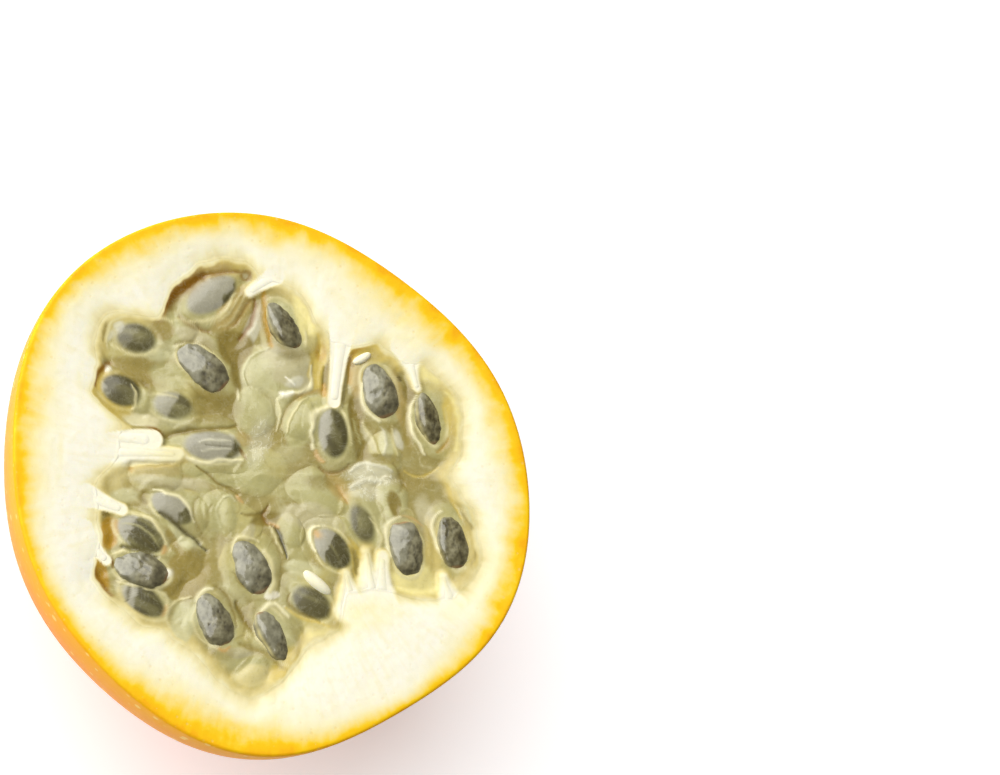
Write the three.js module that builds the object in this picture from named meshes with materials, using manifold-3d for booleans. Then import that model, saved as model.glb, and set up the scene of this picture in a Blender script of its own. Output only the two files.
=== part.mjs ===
// Half of a sweet granadilla, a passion fruit with an orange rind, cut across its middle.
// It lies on its rounded end with the cut face level and up. Two pieces: the shell of rind
// and white pith, and the pulp of seeds in their jelly, which fills the hollow in the shell.
// Millimetres, +Z up. The origin is on the ground below the middle of the rim.

import * as THREE from "three";
import { mergeVertices } from "three/addons/utils/BufferGeometryUtils.js";
import Module from "manifold-3d";

const wasm = await Module();
wasm.setup();

// ---- Driving sizes ----

const CUT_LEVEL = 36; // height of the rim above the ground
const DOME_DEPTH = 36.5; // from the cut down to where the dome would close without its flat spot
const RIM_REACH = 35.3; // mean radius of the rim
const RIM_BEVEL = 0.35; // the worn edge between the skin and the cut face
const CUT_SINK = 0.5; // how far the cut face sinks from the rim to the hollow
const LIP = 0.6; // how wide the rounded edge of the hollow is
const LIP_DROP = 0.7;
const HOLLOW_DEPTH = 28; // from the cut down to the bottom of the hollow
const HOLLOW_MEAN = 25; // the radius that the lobed hollow evens out to as it gets deeper
const FIT_GAP = 0.35; // between the pulp and the shell
const PULP_EDGE_GAP = 0.5; // the same at the top, where the wall leans in below the edge
const PULP_LEVEL = 34.3; // height of the creases between the seed bags
const PULP_AT_WALL = 35.2; // height at which the pulp clings to the wall
const CLING_FROM = 0.86; // how far out to the wall it starts to climb, as a share of the reach
const SEED_WIDTH = 4.5;
const SEED_THICKNESS = 2.6;
const TOPMOST = 36.2; // height of the highest point of a seed or a loose end
const BAG_MARGIN = 1.7; // jelly round a seed
const BAG_RISE = 1.1; // how far a seed bag bulges above the creases
const LOOSE_END_SHOWS = 0.2; // how far the middle of a loose end lies over the pulp, by its width
const PEG_TOP = 35.4; // the knife took the tops of the pegs off here
const PEG_FLARE = 2; // how fast a peg narrows away from the wall

const SEGMENTS = 96; // round the fruit
const DOME_RINGS = 8;
const CUT_RINGS = 3;
const LIP_MIDDLE = 0.3; // where the ring between the two edges of the lip lies, as a share of it
const WALL_RINGS = 7;
const PULP_TOP_RINGS = 12;
const PEG_SIDES = 8;
const PEG_STEPS = 4;
const PEG_END_STEPS = 2;
const SEED_SIDES = 8;
const SEED_RINGS = 4;
const LOOSE_END_RINGS = 5;

// The rim is round apart from these waves: how many go round the fruit, how far each one
// pushes the rim out and in, and an angle in degrees at which it pushes it out.
const RIM_WAVES = [
  { count: 1, push: 0.9, towards: 175 },
  { count: 2, push: 0.8, towards: -50 },
  { count: 3, push: 0.9, towards: 5 },
  { count: 4, push: 0.2, towards: -10 },
  { count: 5, push: 0.2, towards: -25 },
  { count: 6, push: 0.3, towards: 25 },
];

// The ribs and pockets of the hollow at the cut, anticlockwise: angle in degrees, reach.
const HOLLOW_KEYS = [
  [3, 23.7], [12, 26], [25, 28], [37, 26.4], [44, 23.8], [52, 23.6], [60, 21], [66, 20.6],
  [72, 21.6], [84, 26], [92, 26.6], [97, 29.3], [108, 29.9], [116, 28.6], [126, 26],
  [137, 30.5], [144, 29.4], [149, 27.4], [156, 26.9], [163, 21.2], [173, 20.8], [185, 24.2],
  [197, 24.6], [210, 28.2], [224, 27], [233, 25.5], [240, 25.5], [260, 28.8], [283, 21],
  [290, 20.6], [302, 16.7], [309, 17.8], [330, 28], [340, 29.2], [352, 27.2], [357, 25.2],
];

// The white pegs that the seeds hang on, cut short: root x and y, tip x and y, the radius at
// the root, the radius at the tip.
const PEGS = [
  [9.9, 22.0, 8.2, 10.8, 2.0, 0.72],
  [18.6, 18.6, 19.9, 13.1, 2.0, 0.3],
  [23.4, -15.8, 22.5, -12.2, 1.5, 0.25],
  [13.6, -16.0, 14.1, -9.8, 2.2, 0.6],
  [12.6, -15.4, 12.0, -9.2, 0.9, 0.25],
  [9.8, -16.4, 9.0, -12.2, 1.6, 0.3],
  [-25.6, -3.0, -21.0, -4.6, 1.5, 0.6],
  [-26.5, -8.0, -23.2, -11.3, 2.0, 0.5],
  [0.6, 27.6, -2.9, 25.1, 1.2, 0.5],
  [-23.6, 2.9, -13.4, 2.9, 1.1, 0.6],
  [-22.4, 4.85, -16.6, 4.75, 1.1, 1.1],
];

// Seeds that show: x, y, turn of the long axis in degrees, length, and how far the seed is
// rolled from lying flat, in degrees.
const SEEDS = [
  [-8.1, 24.5, 34, 8.4, 10],
  [1.9, 20.9, -59, 7.2, 25],
  [-18.5, 18.1, -10, 6.0, 0],
  [-9.6, 14.7, -42, 8.0, 0],
  [-20.7, 11.1, -22, 6.0, 0],
  [-13.8, 9.4, -8, 6.0, 30],
  [-8.6, 4.2, -3, 8.4, 0],
  [14.6, 12.6, -75, 7.4, 0],
  [21.7, 9.2, -78, 7.2, 30],
  [7.9, 6.6, -87, 7.2, 0],
  [-14.3, -4.2, -32, 6.4, 50],
  [-18.5, -7.7, -29, 7.2, 0],
  [-18.6, -12.3, -14, 7.3, 10],
  [-18.5, -16.3, -32, 6.8, 40],
  [-3.9, -11.5, -66, 7.5, 0],
  [-9.1, -18.6, -67, 7.4, 0],
  [-1.0, -20.4, 117, 7.2, -30],
  [4.1, -16.1, -32, 6.4, 0],
  [7.2, -8.9, -50, 6.5, 0],
  [11.4, -5.4, -70, 6.2, 45],
  [17.5, -8.6, 100, 7.4, 0],
  [24.0, -7.5, -80, 7.0, 15],
];

// Seed bags with no seed in sight: x, y, turn, length, width.
const EMPTY_BAGS = [
  [1.2, 14.6, -28, 9.5, 7.5],
  [3.4, 8.6, -60, 8, 6],
  [-2.6, 9.0, 80, 7, 5],
  [-2.0, 1.0, 20, 8, 6],
  [5.5, -1.5, -30, 8, 6],
  [15.0, 3.8, -70, 7, 5],
  [16.0, -2.4, -80, 7, 4],
  [-13.0, -10.9, 60, 7, 5],
  [-6.6, -5.2, -30, 9, 6],
  [1.5, -6.8, -66, 6, 4],
  [-6.6, -23.0, 10, 6, 5],
  [-4.2, -26.0, 30, 6, 4],
  [-16.0, 0.4, 10, 8, 5],
  [-13.4, 19.6, 30, 6, 5],
];

// Loose white ends of pegs on top of the pulp: x, y, turn, length, width.
const LOOSE_ENDS = [
  [5.0, -13.5, -40, 4.7, 1.9],
  [12.4, 16.8, 30, 2.8, 1.2],
];

// ---- Outlines ----

const radians = THREE.MathUtils.degToRad;
const degrees = THREE.MathUtils.radToDeg;

function ease(t) {
  return t * t * (3 - 2 * t);
}

function mix(a, b, t) {
  return a + (b - a) * t;
}

function rimReach(angle) {
  let reach = RIM_REACH;
  for (const wave of RIM_WAVES) {
    reach += wave.push * Math.cos(wave.count * (angle - radians(wave.towards)));
  }
  return reach;
}

// Reach of the hollow at the cut: it eases from each key to the next, round the fruit.
function hollowReach(angle) {
  const first = HOLLOW_KEYS[0][0];
  const turned = ((((degrees(angle) - first) % 360) + 360) % 360) + first;
  const past = HOLLOW_KEYS.filter((key) => key[0] <= turned);
  const [from, low] = past[past.length - 1];
  const [to, high] = HOLLOW_KEYS[past.length] ?? [first + 360, HOLLOW_KEYS[0][1]];
  return mix(low, high, ease((turned - from) / (to - from)));
}

// ---- Closed surfaces ----

// A ring is a function from an angle to [x, y, z]. The rings run from the bottom point to the
// last point, with the outside on the right-hand side of the way they go.
function closedSurface(bottom, rings, end) {
  const points = [...bottom];
  for (const ring of rings) {
    for (let k = 0; k < SEGMENTS; k += 1) {
      points.push(...ring((2 * Math.PI * k) / SEGMENTS));
    }
  }
  points.push(...end);
  const last = points.length / 3 - 1;
  const at = (ring, k) => 1 + ring * SEGMENTS + (k % SEGMENTS);
  const faces = [];
  for (let k = 0; k < SEGMENTS; k += 1) {
    faces.push(0, at(0, k + 1), at(0, k));
    for (let ring = 0; ring + 1 < rings.length; ring += 1) {
      faces.push(at(ring, k), at(ring, k + 1), at(ring + 1, k + 1));
      faces.push(at(ring, k), at(ring + 1, k + 1), at(ring + 1, k));
    }
    faces.push(at(rings.length - 1, k), at(rings.length - 1, k + 1), last);
  }
  const geometry = new THREE.BufferGeometry();
  geometry.setAttribute("position", new THREE.Float32BufferAttribute(points, 3));
  geometry.setIndex(faces);
  return geometry;
}

function polar(angle, reach, height) {
  return [reach * Math.cos(angle), reach * Math.sin(angle), height];
}

// A ring of the hollow's wall: depth 0 is the lip and depth 1 is the bottom. The lobes fade
// into a round bowl on the way down.
function wallRing(depth, inset) {
  const quarter = (depth * Math.PI) / 2;
  const height = CUT_LEVEL - LIP_DROP - (HOLLOW_DEPTH - LIP_DROP) * Math.sin(quarter);
  return (angle) => {
    const reach = mix(hollowReach(angle), HOLLOW_MEAN, ease(depth));
    const lift = inset * depth;
    return polar(angle, reach * Math.cos(quarter) - inset, height + lift);
  };
}

function wallRings(first, inset) {
  const rings = [];
  for (let k = first; k < WALL_RINGS; k += 1) {
    rings.push(wallRing(k / WALL_RINGS, inset));
  }
  return rings;
}

// ---- Manifold joins and cuts ----

function toSolid(geometry) {
  const bare = geometry.clone();
  bare.deleteAttribute("normal");
  bare.deleteAttribute("uv");
  const merged = mergeVertices(bare);
  const vertProperties = new Float32Array(merged.attributes.position.array);
  const triVerts = new Uint32Array(merged.index.array);
  return new wasm.Manifold(new wasm.Mesh({ numProp: 3, vertProperties, triVerts }));
}

function toGeometry(solid) {
  const mesh = solid.getMesh();
  const geometry = new THREE.BufferGeometry();
  geometry.setAttribute("position", new THREE.BufferAttribute(mesh.vertProperties, 3));
  geometry.setIndex(new THREE.BufferAttribute(mesh.triVerts, 1));
  return geometry;
}

// ---- Pegs ----

// Radius of a peg, from its root (share 0) to its tip: it flares into the wall.
function pegRadius(share, rootRadius, tipRadius) {
  return mix(tipRadius, rootRadius, (1 - share) ** PEG_FLARE);
}

// A peg with a round tip, lathed along +Y, lowered so that its top lies level, and then turned
// and moved to its root. It grows on all sides by the last value.
function pegGeometry([rootX, rootY, tipX, tipY, rootRadius, tipRadius], grow) {
  const shaft = Math.hypot(tipX - rootX, tipY - rootY) - tipRadius;
  const profile = [new THREE.Vector2(0, -rootRadius - grow)];
  for (let k = 0; k < PEG_STEPS; k += 1) {
    const share = k / PEG_STEPS;
    profile.push(new THREE.Vector2(pegRadius(share, rootRadius, tipRadius) + grow, share * shaft));
  }
  for (let k = 0; k <= PEG_END_STEPS; k += 1) {
    const turn = (k / PEG_END_STEPS) * (Math.PI / 2);
    const end = tipRadius + grow;
    profile.push(new THREE.Vector2(end * Math.cos(turn), shaft + end * Math.sin(turn)));
  }
  const geometry = new THREE.LatheGeometry(profile, PEG_SIDES);
  const points = geometry.attributes.position;
  for (let k = 0; k < points.count; k += 1) {
    const share = THREE.MathUtils.clamp(points.getY(k) / shaft, 0, 1);
    points.setZ(k, points.getZ(k) + PEG_TOP - pegRadius(share, rootRadius, tipRadius));
  }
  geometry.rotateZ(Math.atan2(tipY - rootY, tipX - rootX) - Math.PI / 2);
  geometry.translate(rootX, rootY, 0);
  return geometry;
}

// ---- Shell: orange rind, white pith, the hollow's wall and its pegs ----

function domeRing(share) {
  const steepest = Math.asin(CUT_LEVEL / DOME_DEPTH);
  const slope = steepest * (1 - share);
  const height = CUT_LEVEL - DOME_DEPTH * Math.sin(slope);
  return (angle) => {
    const reach = mix(RIM_REACH, rimReach(angle), ease(share));
    return polar(angle, reach * Math.cos(slope), height);
  };
}

function cutRing(share) {
  return (angle) => {
    const edge = hollowReach(angle) + LIP;
    const reach = mix(rimReach(angle) - RIM_BEVEL, edge, share);
    return polar(angle, reach, CUT_LEVEL - CUT_SINK * share * share);
  };
}

function lipRing(angle) {
  const low = mix(CUT_SINK, LIP_DROP, LIP_MIDDLE);
  return polar(angle, hollowReach(angle) + LIP_MIDDLE * LIP, CUT_LEVEL - low);
}

function shellGeometry() {
  const rings = [];
  for (let k = 0; k < DOME_RINGS; k += 1) {
    rings.push(domeRing(k / DOME_RINGS));
  }
  rings.push((angle) => polar(angle, rimReach(angle), CUT_LEVEL - RIM_BEVEL));
  for (let k = 0; k <= CUT_RINGS; k += 1) {
    rings.push(cutRing(k / CUT_RINGS));
  }
  rings.push(lipRing, ...wallRings(0, 0));
  const body = closedSurface([0, 0, 0], rings, [0, 0, CUT_LEVEL - HOLLOW_DEPTH]);
  let solid = toSolid(body);
  for (const peg of PEGS) {
    solid = solid.add(toSolid(pegGeometry(peg, 0)));
  }
  return toGeometry(solid);
}

// ---- Pulp: jelly bags, the seeds in them and the loose white ends on top ----

// 1 in the middle of a seed bag and 0 at its edge and beyond.
function bagShare(x, y, [bagX, bagY, turn, length, width]) {
  const along = (x - bagX) * Math.cos(radians(turn)) + (y - bagY) * Math.sin(radians(turn));
  const across = (y - bagY) * Math.cos(radians(turn)) - (x - bagX) * Math.sin(radians(turn));
  return Math.max(0, 1 - (2 * along / length) ** 2 - (2 * across / width) ** 2);
}

function seedBags() {
  const full = SEEDS.map(([x, y, turn, length]) => (
    [x, y, turn, length + 2 * BAG_MARGIN, SEED_WIDTH + 2 * BAG_MARGIN]
  ));
  return [...full, ...EMPTY_BAGS];
}

const BAGS = seedBags();

function pulpHeight(x, y) {
  const bulge = Math.max(...BAGS.map((bag) => Math.sqrt(bagShare(x, y, bag))));
  const share = Math.hypot(x, y) / hollowReach(Math.atan2(y, x));
  const cling = THREE.MathUtils.smoothstep(share, CLING_FROM, 1);
  return mix(PULP_LEVEL + BAG_RISE * bulge, PULP_AT_WALL, cling);
}

function pulpTopRing(share) {
  return (angle) => {
    const reach = share * (hollowReach(angle) - PULP_EDGE_GAP);
    const [x, y] = polar(angle, reach, 0);
    return [x, y, pulpHeight(x, y)];
  };
}

function seedGeometry([x, y, turn, length, roll]) {
  const geometry = new THREE.SphereGeometry(0.5, SEED_SIDES, SEED_RINGS);
  geometry.scale(SEED_WIDTH, length, SEED_THICKNESS);
  geometry.rotateY(radians(roll));
  geometry.rotateZ(radians(turn - 90));
  const side = SEED_WIDTH * Math.sin(radians(roll));
  const face = SEED_THICKNESS * Math.cos(radians(roll));
  geometry.translate(x, y, TOPMOST - 0.5 * Math.hypot(side, face));
  return geometry;
}

function looseEndGeometry([x, y, turn, length, width]) {
  const geometry = new THREE.SphereGeometry(0.5, SEED_SIDES, LOOSE_END_RINGS);
  geometry.scale(width, length, width);
  geometry.rotateZ(radians(turn - 90));
  const sunk = pulpHeight(x, y) + LOOSE_END_SHOWS * width;
  geometry.translate(x, y, Math.min(sunk, TOPMOST - 0.5 * width));
  return geometry;
}

function pulpGeometry() {
  const rings = wallRings(1, FIT_GAP).reverse();
  for (let k = PULP_TOP_RINGS; k > 0; k -= 1) {
    rings.push(pulpTopRing(k / PULP_TOP_RINGS));
  }
  const bottom = [0, 0, CUT_LEVEL - HOLLOW_DEPTH + FIT_GAP];
  const body = closedSurface(bottom, rings, [0, 0, pulpHeight(0, 0)]);
  let solid = toSolid(body);
  for (const seed of SEEDS) {
    solid = solid.add(toSolid(seedGeometry(seed)));
  }
  for (const end of LOOSE_ENDS) {
    solid = solid.add(toSolid(looseEndGeometry(end)));
  }
  for (const peg of PEGS) {
    solid = solid.subtract(toSolid(pegGeometry(peg, FIT_GAP)));
  }
  return toGeometry(solid);
}

// ---- The scene graph ----

function piece(name, geometry, look) {
  const mesh = new THREE.Mesh(geometry, new THREE.MeshStandardMaterial(look));
  mesh.name = name;
  return mesh;
}

const fruit = new THREE.Group();
fruit.add(piece("shell", shellGeometry(), { color: 0xfff4d2, roughness: 0.6, metalness: 0 }));
fruit.add(piece("pulp", pulpGeometry(), { color: 0xb3ab78, roughness: 0.15, metalness: 0 }));

export default fruit;
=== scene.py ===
"""Half of a sweet granadilla, a passion fruit with an orange rind, cut across its middle.

It is put together from the outside in: the shell of rind and pith, the white pegs that grow from
its wall, the jelly with the seeds that it veils, the bare seeds, the loose white ends, and the
setting. Sizes are millimetres, and become metres where a mesh is made. +Z is up.
"""

import math

import bpy
import numpy as np
from mathutils import Matrix, Vector


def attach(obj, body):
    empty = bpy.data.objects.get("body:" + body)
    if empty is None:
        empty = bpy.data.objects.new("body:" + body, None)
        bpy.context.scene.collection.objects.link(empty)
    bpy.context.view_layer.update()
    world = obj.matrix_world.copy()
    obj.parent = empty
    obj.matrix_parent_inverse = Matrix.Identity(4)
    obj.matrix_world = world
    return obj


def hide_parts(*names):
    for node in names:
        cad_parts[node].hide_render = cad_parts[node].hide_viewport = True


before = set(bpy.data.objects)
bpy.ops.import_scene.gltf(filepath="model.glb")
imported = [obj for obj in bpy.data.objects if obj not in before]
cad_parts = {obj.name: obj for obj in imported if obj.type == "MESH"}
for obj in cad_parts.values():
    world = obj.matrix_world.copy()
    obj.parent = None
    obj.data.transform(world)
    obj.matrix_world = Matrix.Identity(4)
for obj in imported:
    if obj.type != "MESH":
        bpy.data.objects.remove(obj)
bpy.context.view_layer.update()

# ---- Shell ----
# The orange rind with the white pith inside it, one piece: the knife left the cut face flat, and
# the hollow that held the seeds opens in the middle of it, with ribs and pockets round its wall.

MM = 0.001
CUT_LEVEL = 36.0
DOME_DEPTH = 36.5  # from the cut down to where the dome would close without its flat spot
RIM_REACH = 35.3
RIM_BEVEL = 0.35
CUT_SINK = 0.5  # how far the cut face sinks from the rim to the hollow
LIP = 0.6  # width of the rounded edge of the hollow
LIP_DROP = 0.7
HOLLOW_DEPTH = 28.0
HOLLOW_MEAN = 25.0  # the reach that the lobed hollow evens out to as it gets deeper

# Waves of the rim: how many go round, how far each pushes, and where it pushes out, in degrees.
RIM_WAVES = ((1, 0.9, 175), (2, 0.8, -50), (3, 0.9, 5), (4, 0.2, -10), (5, 0.2, -25), (6, 0.3, 25))

# Ribs and pockets of the hollow at the cut, anticlockwise: angle in degrees, reach.
HOLLOW_KEYS = (
    (3, 23.7), (12, 26), (25, 28), (37, 26.4), (44, 23.8), (52, 23.6), (60, 21), (66, 20.6),
    (72, 21.6), (84, 26), (92, 26.6), (97, 29.3), (108, 29.9), (116, 28.6), (126, 26),
    (137, 30.5), (144, 29.4), (149, 27.4), (156, 26.9), (163, 21.2), (173, 20.8), (185, 24.2),
    (197, 24.6), (210, 28.2), (224, 27), (233, 25.5), (240, 25.5), (260, 28.8), (283, 21),
    (290, 20.6), (302, 16.7), (309, 17.8), (330, 28), (340, 29.2), (352, 27.2), (357, 25.2),
)

# Unevenness, as layers of noise: how far each pushes, its cell, its seed.
HOLLOW_WAVER = ((0.28, 2.1, 11), (0.12, 0.9, 12))
CUT_GRAIN = ((0.015, 0.8, 21), (0.03, 4.0, 22))
GRAIN_SINK = 0.03  # how far the grain of the cut is sunk, so that little of it stands over the cut
GRAIN_FADE = 6.0  # how steeply it sets in from the rim

SHELL_ROUND = 540
DOME_RINGS = 74
BEVEL_TURNS = (0.0, 0.35, 0.7)  # where the rings of the bevel lie, in quarter turns
CUT_RINGS = 56
LIP_RINGS = 5
WALL_RINGS = 24
NOISE_CELLS = 48


def ease(t):
    """Smooth step: t squared times (3 - 2 t), with t held between 0 and 1."""
    t = np.clip(t, 0.0, 1.0)
    return t * t * (3.0 - 2.0 * t)


def mix(a, b, t):
    """Part of the way t from a to b."""
    return a + (b - a) * t


def noise(x, y, z, cell, seed):
    """Smooth noise from -1 to 1: random values on a lattice of this cell, eased between its corners."""
    lattice = np.random.default_rng(seed).uniform(-1.0, 1.0, (NOISE_CELLS,) * 3)
    place = np.stack(np.broadcast_arrays(x, y, z), -1) / cell
    corner = np.floor(place).astype(int)
    low, high = corner % NOISE_CELLS, (corner + 1) % NOISE_CELLS
    tx, ty, tz = np.moveaxis(ease(place - corner), -1, 0)

    def along_x(iy, iz):
        return mix(lattice[low[..., 0], iy, iz], lattice[high[..., 0], iy, iz], tx)

    front = mix(along_x(low[..., 1], low[..., 2]), along_x(high[..., 1], low[..., 2]), ty)
    back = mix(along_x(low[..., 1], high[..., 2]), along_x(high[..., 1], high[..., 2]), ty)
    return mix(front, back, tz)


def waver(x, y, layers, z=0.0):
    """The sum of layers of noise, each given by its size, cell and seed."""
    return sum(size * noise(x, y, z, cell, seed) for size, cell, seed in layers)


def rim_reach(angle):
    """Reach of the rim: its mean, and a cosine for each wave."""
    reach = np.full_like(angle, RIM_REACH)
    for count, push, towards in RIM_WAVES:
        reach += push * np.cos(count * (angle - math.radians(towards)))
    return reach


def hollow_reach(angle):
    """Reach of the hollow at the cut: eased from key to key round the fruit, with a fine waver."""
    at, reach = np.array(HOLLOW_KEYS + ((HOLLOW_KEYS[0][0] + 360, HOLLOW_KEYS[0][1]),), float).T
    turned = (np.degrees(angle) - at[0]) % 360.0 + at[0]
    k = np.clip(np.searchsorted(at, turned, side="right") - 1, 0, len(at) - 2)
    smooth = mix(reach[k], reach[k + 1], ease((turned - at[k]) / (at[k + 1] - at[k])))
    return smooth + waver(smooth * np.cos(angle), smooth * np.sin(angle), HOLLOW_WAVER)


def skin_mesh(name, grid, values, materials, second_from=None):
    """Closed meshes from a grid of points: copies x rings x round x 3, in millimetres.

    The first and the last ring are single points. Quads run between the rings, and a fan closes
    each end. Rings from second_from on take the second material. The values are carried at the points.
    """
    copies, rings, around, _ = grid.shape
    keep = np.r_[0, around : (rings - 1) * around, (rings - 1) * around]

    def kept(array, width):
        whole = np.asarray(array, float).reshape(copies, rings * around, width)
        return whole[:, keep].reshape(-1, width)

    at = 1 + np.arange((rings - 2) * around).reshape(rings - 2, around)
    after = np.roll(at, -1, axis=1)
    quads = np.stack((at[:-1], after[:-1], after[1:], at[1:]), -1).reshape(-1, 4)
    start = np.stack((0 * at[0], after[0], at[0]), -1)
    close = np.stack((at[-1], after[-1], 0 * at[0] + len(keep) - 1), -1)
    fans = np.concatenate((start, close))
    shift = np.arange(copies)[:, None, None] * len(keep)
    corners = np.concatenate(((quads[None] + shift).ravel(), (fans[None] + shift).ravel()))
    fours, threes = copies * len(quads), copies * len(fans)
    starts = np.concatenate((4 * np.arange(fours), 4 * fours + 3 * np.arange(threes)))

    mesh = bpy.data.meshes.new(name)
    points = kept(grid * MM, 3)
    mesh.vertices.add(len(points))
    mesh.vertices.foreach_set("co", points.ravel())
    mesh.loops.add(len(corners))
    mesh.loops.foreach_set("vertex_index", corners.astype(np.int32))
    mesh.polygons.add(fours + threes)
    mesh.polygons.foreach_set("loop_start", starts.astype(np.int32))
    for material in materials:
        mesh.materials.append(material)
    if second_from is not None:
        slots = np.zeros(fours + threes, np.int32)
        slots[(second_from - 1) * around : fours] = 1
        slots[fours + around :] = 1
        mesh.polygons.foreach_set("material_index", slots)
    for label, array in values.items():
        if np.ndim(array) == grid.ndim:
            carried = np.concatenate((kept(array, 3), np.ones((len(points), 1))), 1)
            kind, field = "FLOAT_COLOR", "color"
        else:
            carried = kept(array, 1)
            kind, field = "FLOAT", "value"
        mesh.attributes.new(label, kind, "POINT").data.foreach_set(field, carried.ravel())
    mesh.update(calc_edges=True)
    mesh.shade_smooth()
    piece = bpy.data.objects.new(name, mesh)
    bpy.context.scene.collection.objects.link(piece)
    return piece


def polar(angle, reach, height):
    """Points of a ring from their angle, reach and height."""
    return np.stack(np.broadcast_arrays(reach * np.cos(angle), reach * np.sin(angle), height), -1)


def round_angles(count):
    """Equal angles once round."""
    return 2.0 * np.pi * np.arange(count) / count


def wall_ring(angle, edge, depth, gap=0.0):
    """A ring of the hollow's wall at a depth from 0, at the lip, to 1, at the bottom, drawn in by a gap.

    The reach eases from the edge to the mean and shrinks by the cosine of a quarter turn, as the
    height drops by its sine.
    """
    quarter = depth * math.pi / 2.0
    reach = mix(edge, HOLLOW_MEAN, ease(depth)) * math.cos(quarter) - gap
    height = CUT_LEVEL - LIP_DROP - (HOLLOW_DEPTH - LIP_DROP) * math.sin(quarter)
    return polar(angle, reach, height + gap * depth)


def shell_rings():
    """Rings from the middle of the flat spot, up the dome, across the cut and down the hollow.

    Up the dome the reach goes by the cosine of its slope and the height by the sine. The bevel and
    the lip are quarter turns, and the cut sinks by the square of the share of the way inwards.
    """
    angle = round_angles(SHELL_ROUND)
    rim, edge = rim_reach(angle), hollow_reach(angle)
    rings = [polar(angle, 0.0, 0.0)]
    steepest = math.asin(CUT_LEVEL / DOME_DEPTH)
    for share in np.linspace(0.0, 1.0, DOME_RINGS, endpoint=False):
        slope = steepest * (1.0 - share)
        reach = mix(RIM_REACH, rim, ease(share)) * math.cos(slope)
        rings.append(polar(angle, reach, CUT_LEVEL - DOME_DEPTH * math.sin(slope)))
    for turn in np.array(BEVEL_TURNS) * math.pi / 2.0:
        inset, low = RIM_BEVEL * (1.0 - math.cos(turn)), RIM_BEVEL * (1.0 - math.sin(turn))
        rings.append(polar(angle, rim - inset, CUT_LEVEL - low))
    for share in np.linspace(0.0, 1.0, CUT_RINGS):
        reach = mix(rim - RIM_BEVEL, edge + LIP, share)
        grain = waver(reach * np.cos(angle), reach * np.sin(angle), CUT_GRAIN) - GRAIN_SINK
        low = CUT_SINK * share * share
        rings.append(polar(angle, reach, CUT_LEVEL - low + ease(GRAIN_FADE * share) * grain))
    for turn in np.linspace(0.0, math.pi / 2.0, LIP_RINGS + 1)[1:]:
        reach = edge + LIP * (1.0 - math.sin(turn))
        low = mix(CUT_SINK, LIP_DROP, 1.0 - math.cos(turn))
        rings.append(polar(angle, reach, CUT_LEVEL - low))
    for share in np.linspace(0.0, 1.0, WALL_RINGS + 1)[1:]:
        rings.append(wall_ring(angle, edge, share**2))
    return np.array(rings)[None]


def linear(colour):
    """The light that a colour on a 0 to 255 screen scale stands for, channel by channel."""
    share = np.asarray(colour, float) / 255.0
    return np.where(share <= 0.04045, share / 12.92, ((share + 0.055) / 1.055) ** 2.4)


def rgba(colour):
    """A shader colour from one on a 0 to 255 screen scale."""
    return (*linear(colour), 1.0)


def feed(node, inputs):
    """Give inputs of a node their values, or links from sockets."""
    for label, value in inputs.items():
        if isinstance(value, bpy.types.NodeSocket):
            node.id_data.links.new(value, node.inputs[label])
        else:
            node.inputs[label].default_value = value


def add(tree, kind, inputs=None, **settings):
    """A shader node with its settings and inputs."""
    made = tree.nodes.new(kind)
    for label, value in settings.items():
        setattr(made, label, value)
    feed(made, inputs or {})
    return made


def ramp(tree, share, stops):
    """A colour ramp over share: stops are pairs of place and screen colour."""
    made = add(tree, "ShaderNodeValToRGB", {"Fac": share})
    keys = made.color_ramp.elements
    while len(keys) < len(stops):
        keys.new(0.5)
    for key, (place, colour) in zip(keys, stops):
        key.position = place
        key.color = rgba(colour)
    return made.outputs["Color"]


def blend(tree, share, under, over, how="MIX"):
    """One colour laid over another by a share."""
    inputs = {0: share, 6: under, 7: over}
    return add(tree, "ShaderNodeMix", inputs, data_type="RGBA", blend_type=how).outputs[2]


def maths(tree, how, a, b=0.0, c=0.0, clamp=False):
    """One sum on two or three values."""
    inputs = {0: a, 1: b, 2: c}
    return add(tree, "ShaderNodeMath", inputs, operation=how, use_clamp=clamp).outputs[0]


def times(tree, a, b):
    """One value times another."""
    return maths(tree, "MULTIPLY", a, b)


def sway(tree, share, size, base):
    """A base pushed up and down by a share about its middle: base + size (share - 0.5)."""
    return maths(tree, "MULTIPLY_ADD", maths(tree, "SUBTRACT", share, 0.5), size, base)


def span(tree, value, low, high, start=0.0, end=1.0):
    """A value carried over from the range low to high to the range start to end, and held there."""
    inputs = {0: value, 1: low, 2: high, 3: start, 4: end}
    return add(tree, "ShaderNodeMapRange", inputs).outputs[0]


def clouds(tree, place, scale, detail=2.0, distortion=0.0):
    """Soft noise from 0 to 1."""
    inputs = {"Vector": place, "Scale": scale, "Detail": detail, "Distortion": distortion}
    return add(tree, "ShaderNodeTexNoise", inputs).outputs[0]


def object_place(tree):
    """Where each point of the piece lies."""
    return add(tree, "ShaderNodeTexCoord").outputs["Object"]


def carried_by(tree, label, output="Fac"):
    """A value or colour that the mesh carries at its points."""
    return add(tree, "ShaderNodeAttribute", attribute_name=label).outputs[output]


def bumps(tree, height, strength, rise):
    """A normal bent by a height that is worth this many millimetres."""
    inputs = {"Height": height, "Strength": strength, "Distance": rise * MM}
    return add(tree, "ShaderNodeBump", inputs).outputs[0]


def new_material(name, **plain):
    """A material with one Principled shader, and the values that are the same all over it."""
    made = bpy.data.materials.new(name)
    made.use_nodes = True
    made.node_tree.nodes.clear()
    shader = add(made.node_tree, "ShaderNodeBsdfPrincipled")
    add(made.node_tree, "ShaderNodeOutputMaterial", {"Surface": shader.outputs[0]})
    for label, value in plain.items():
        shader.inputs[label.replace("_", " ")].default_value = value
    return made, made.node_tree, shader


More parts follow.
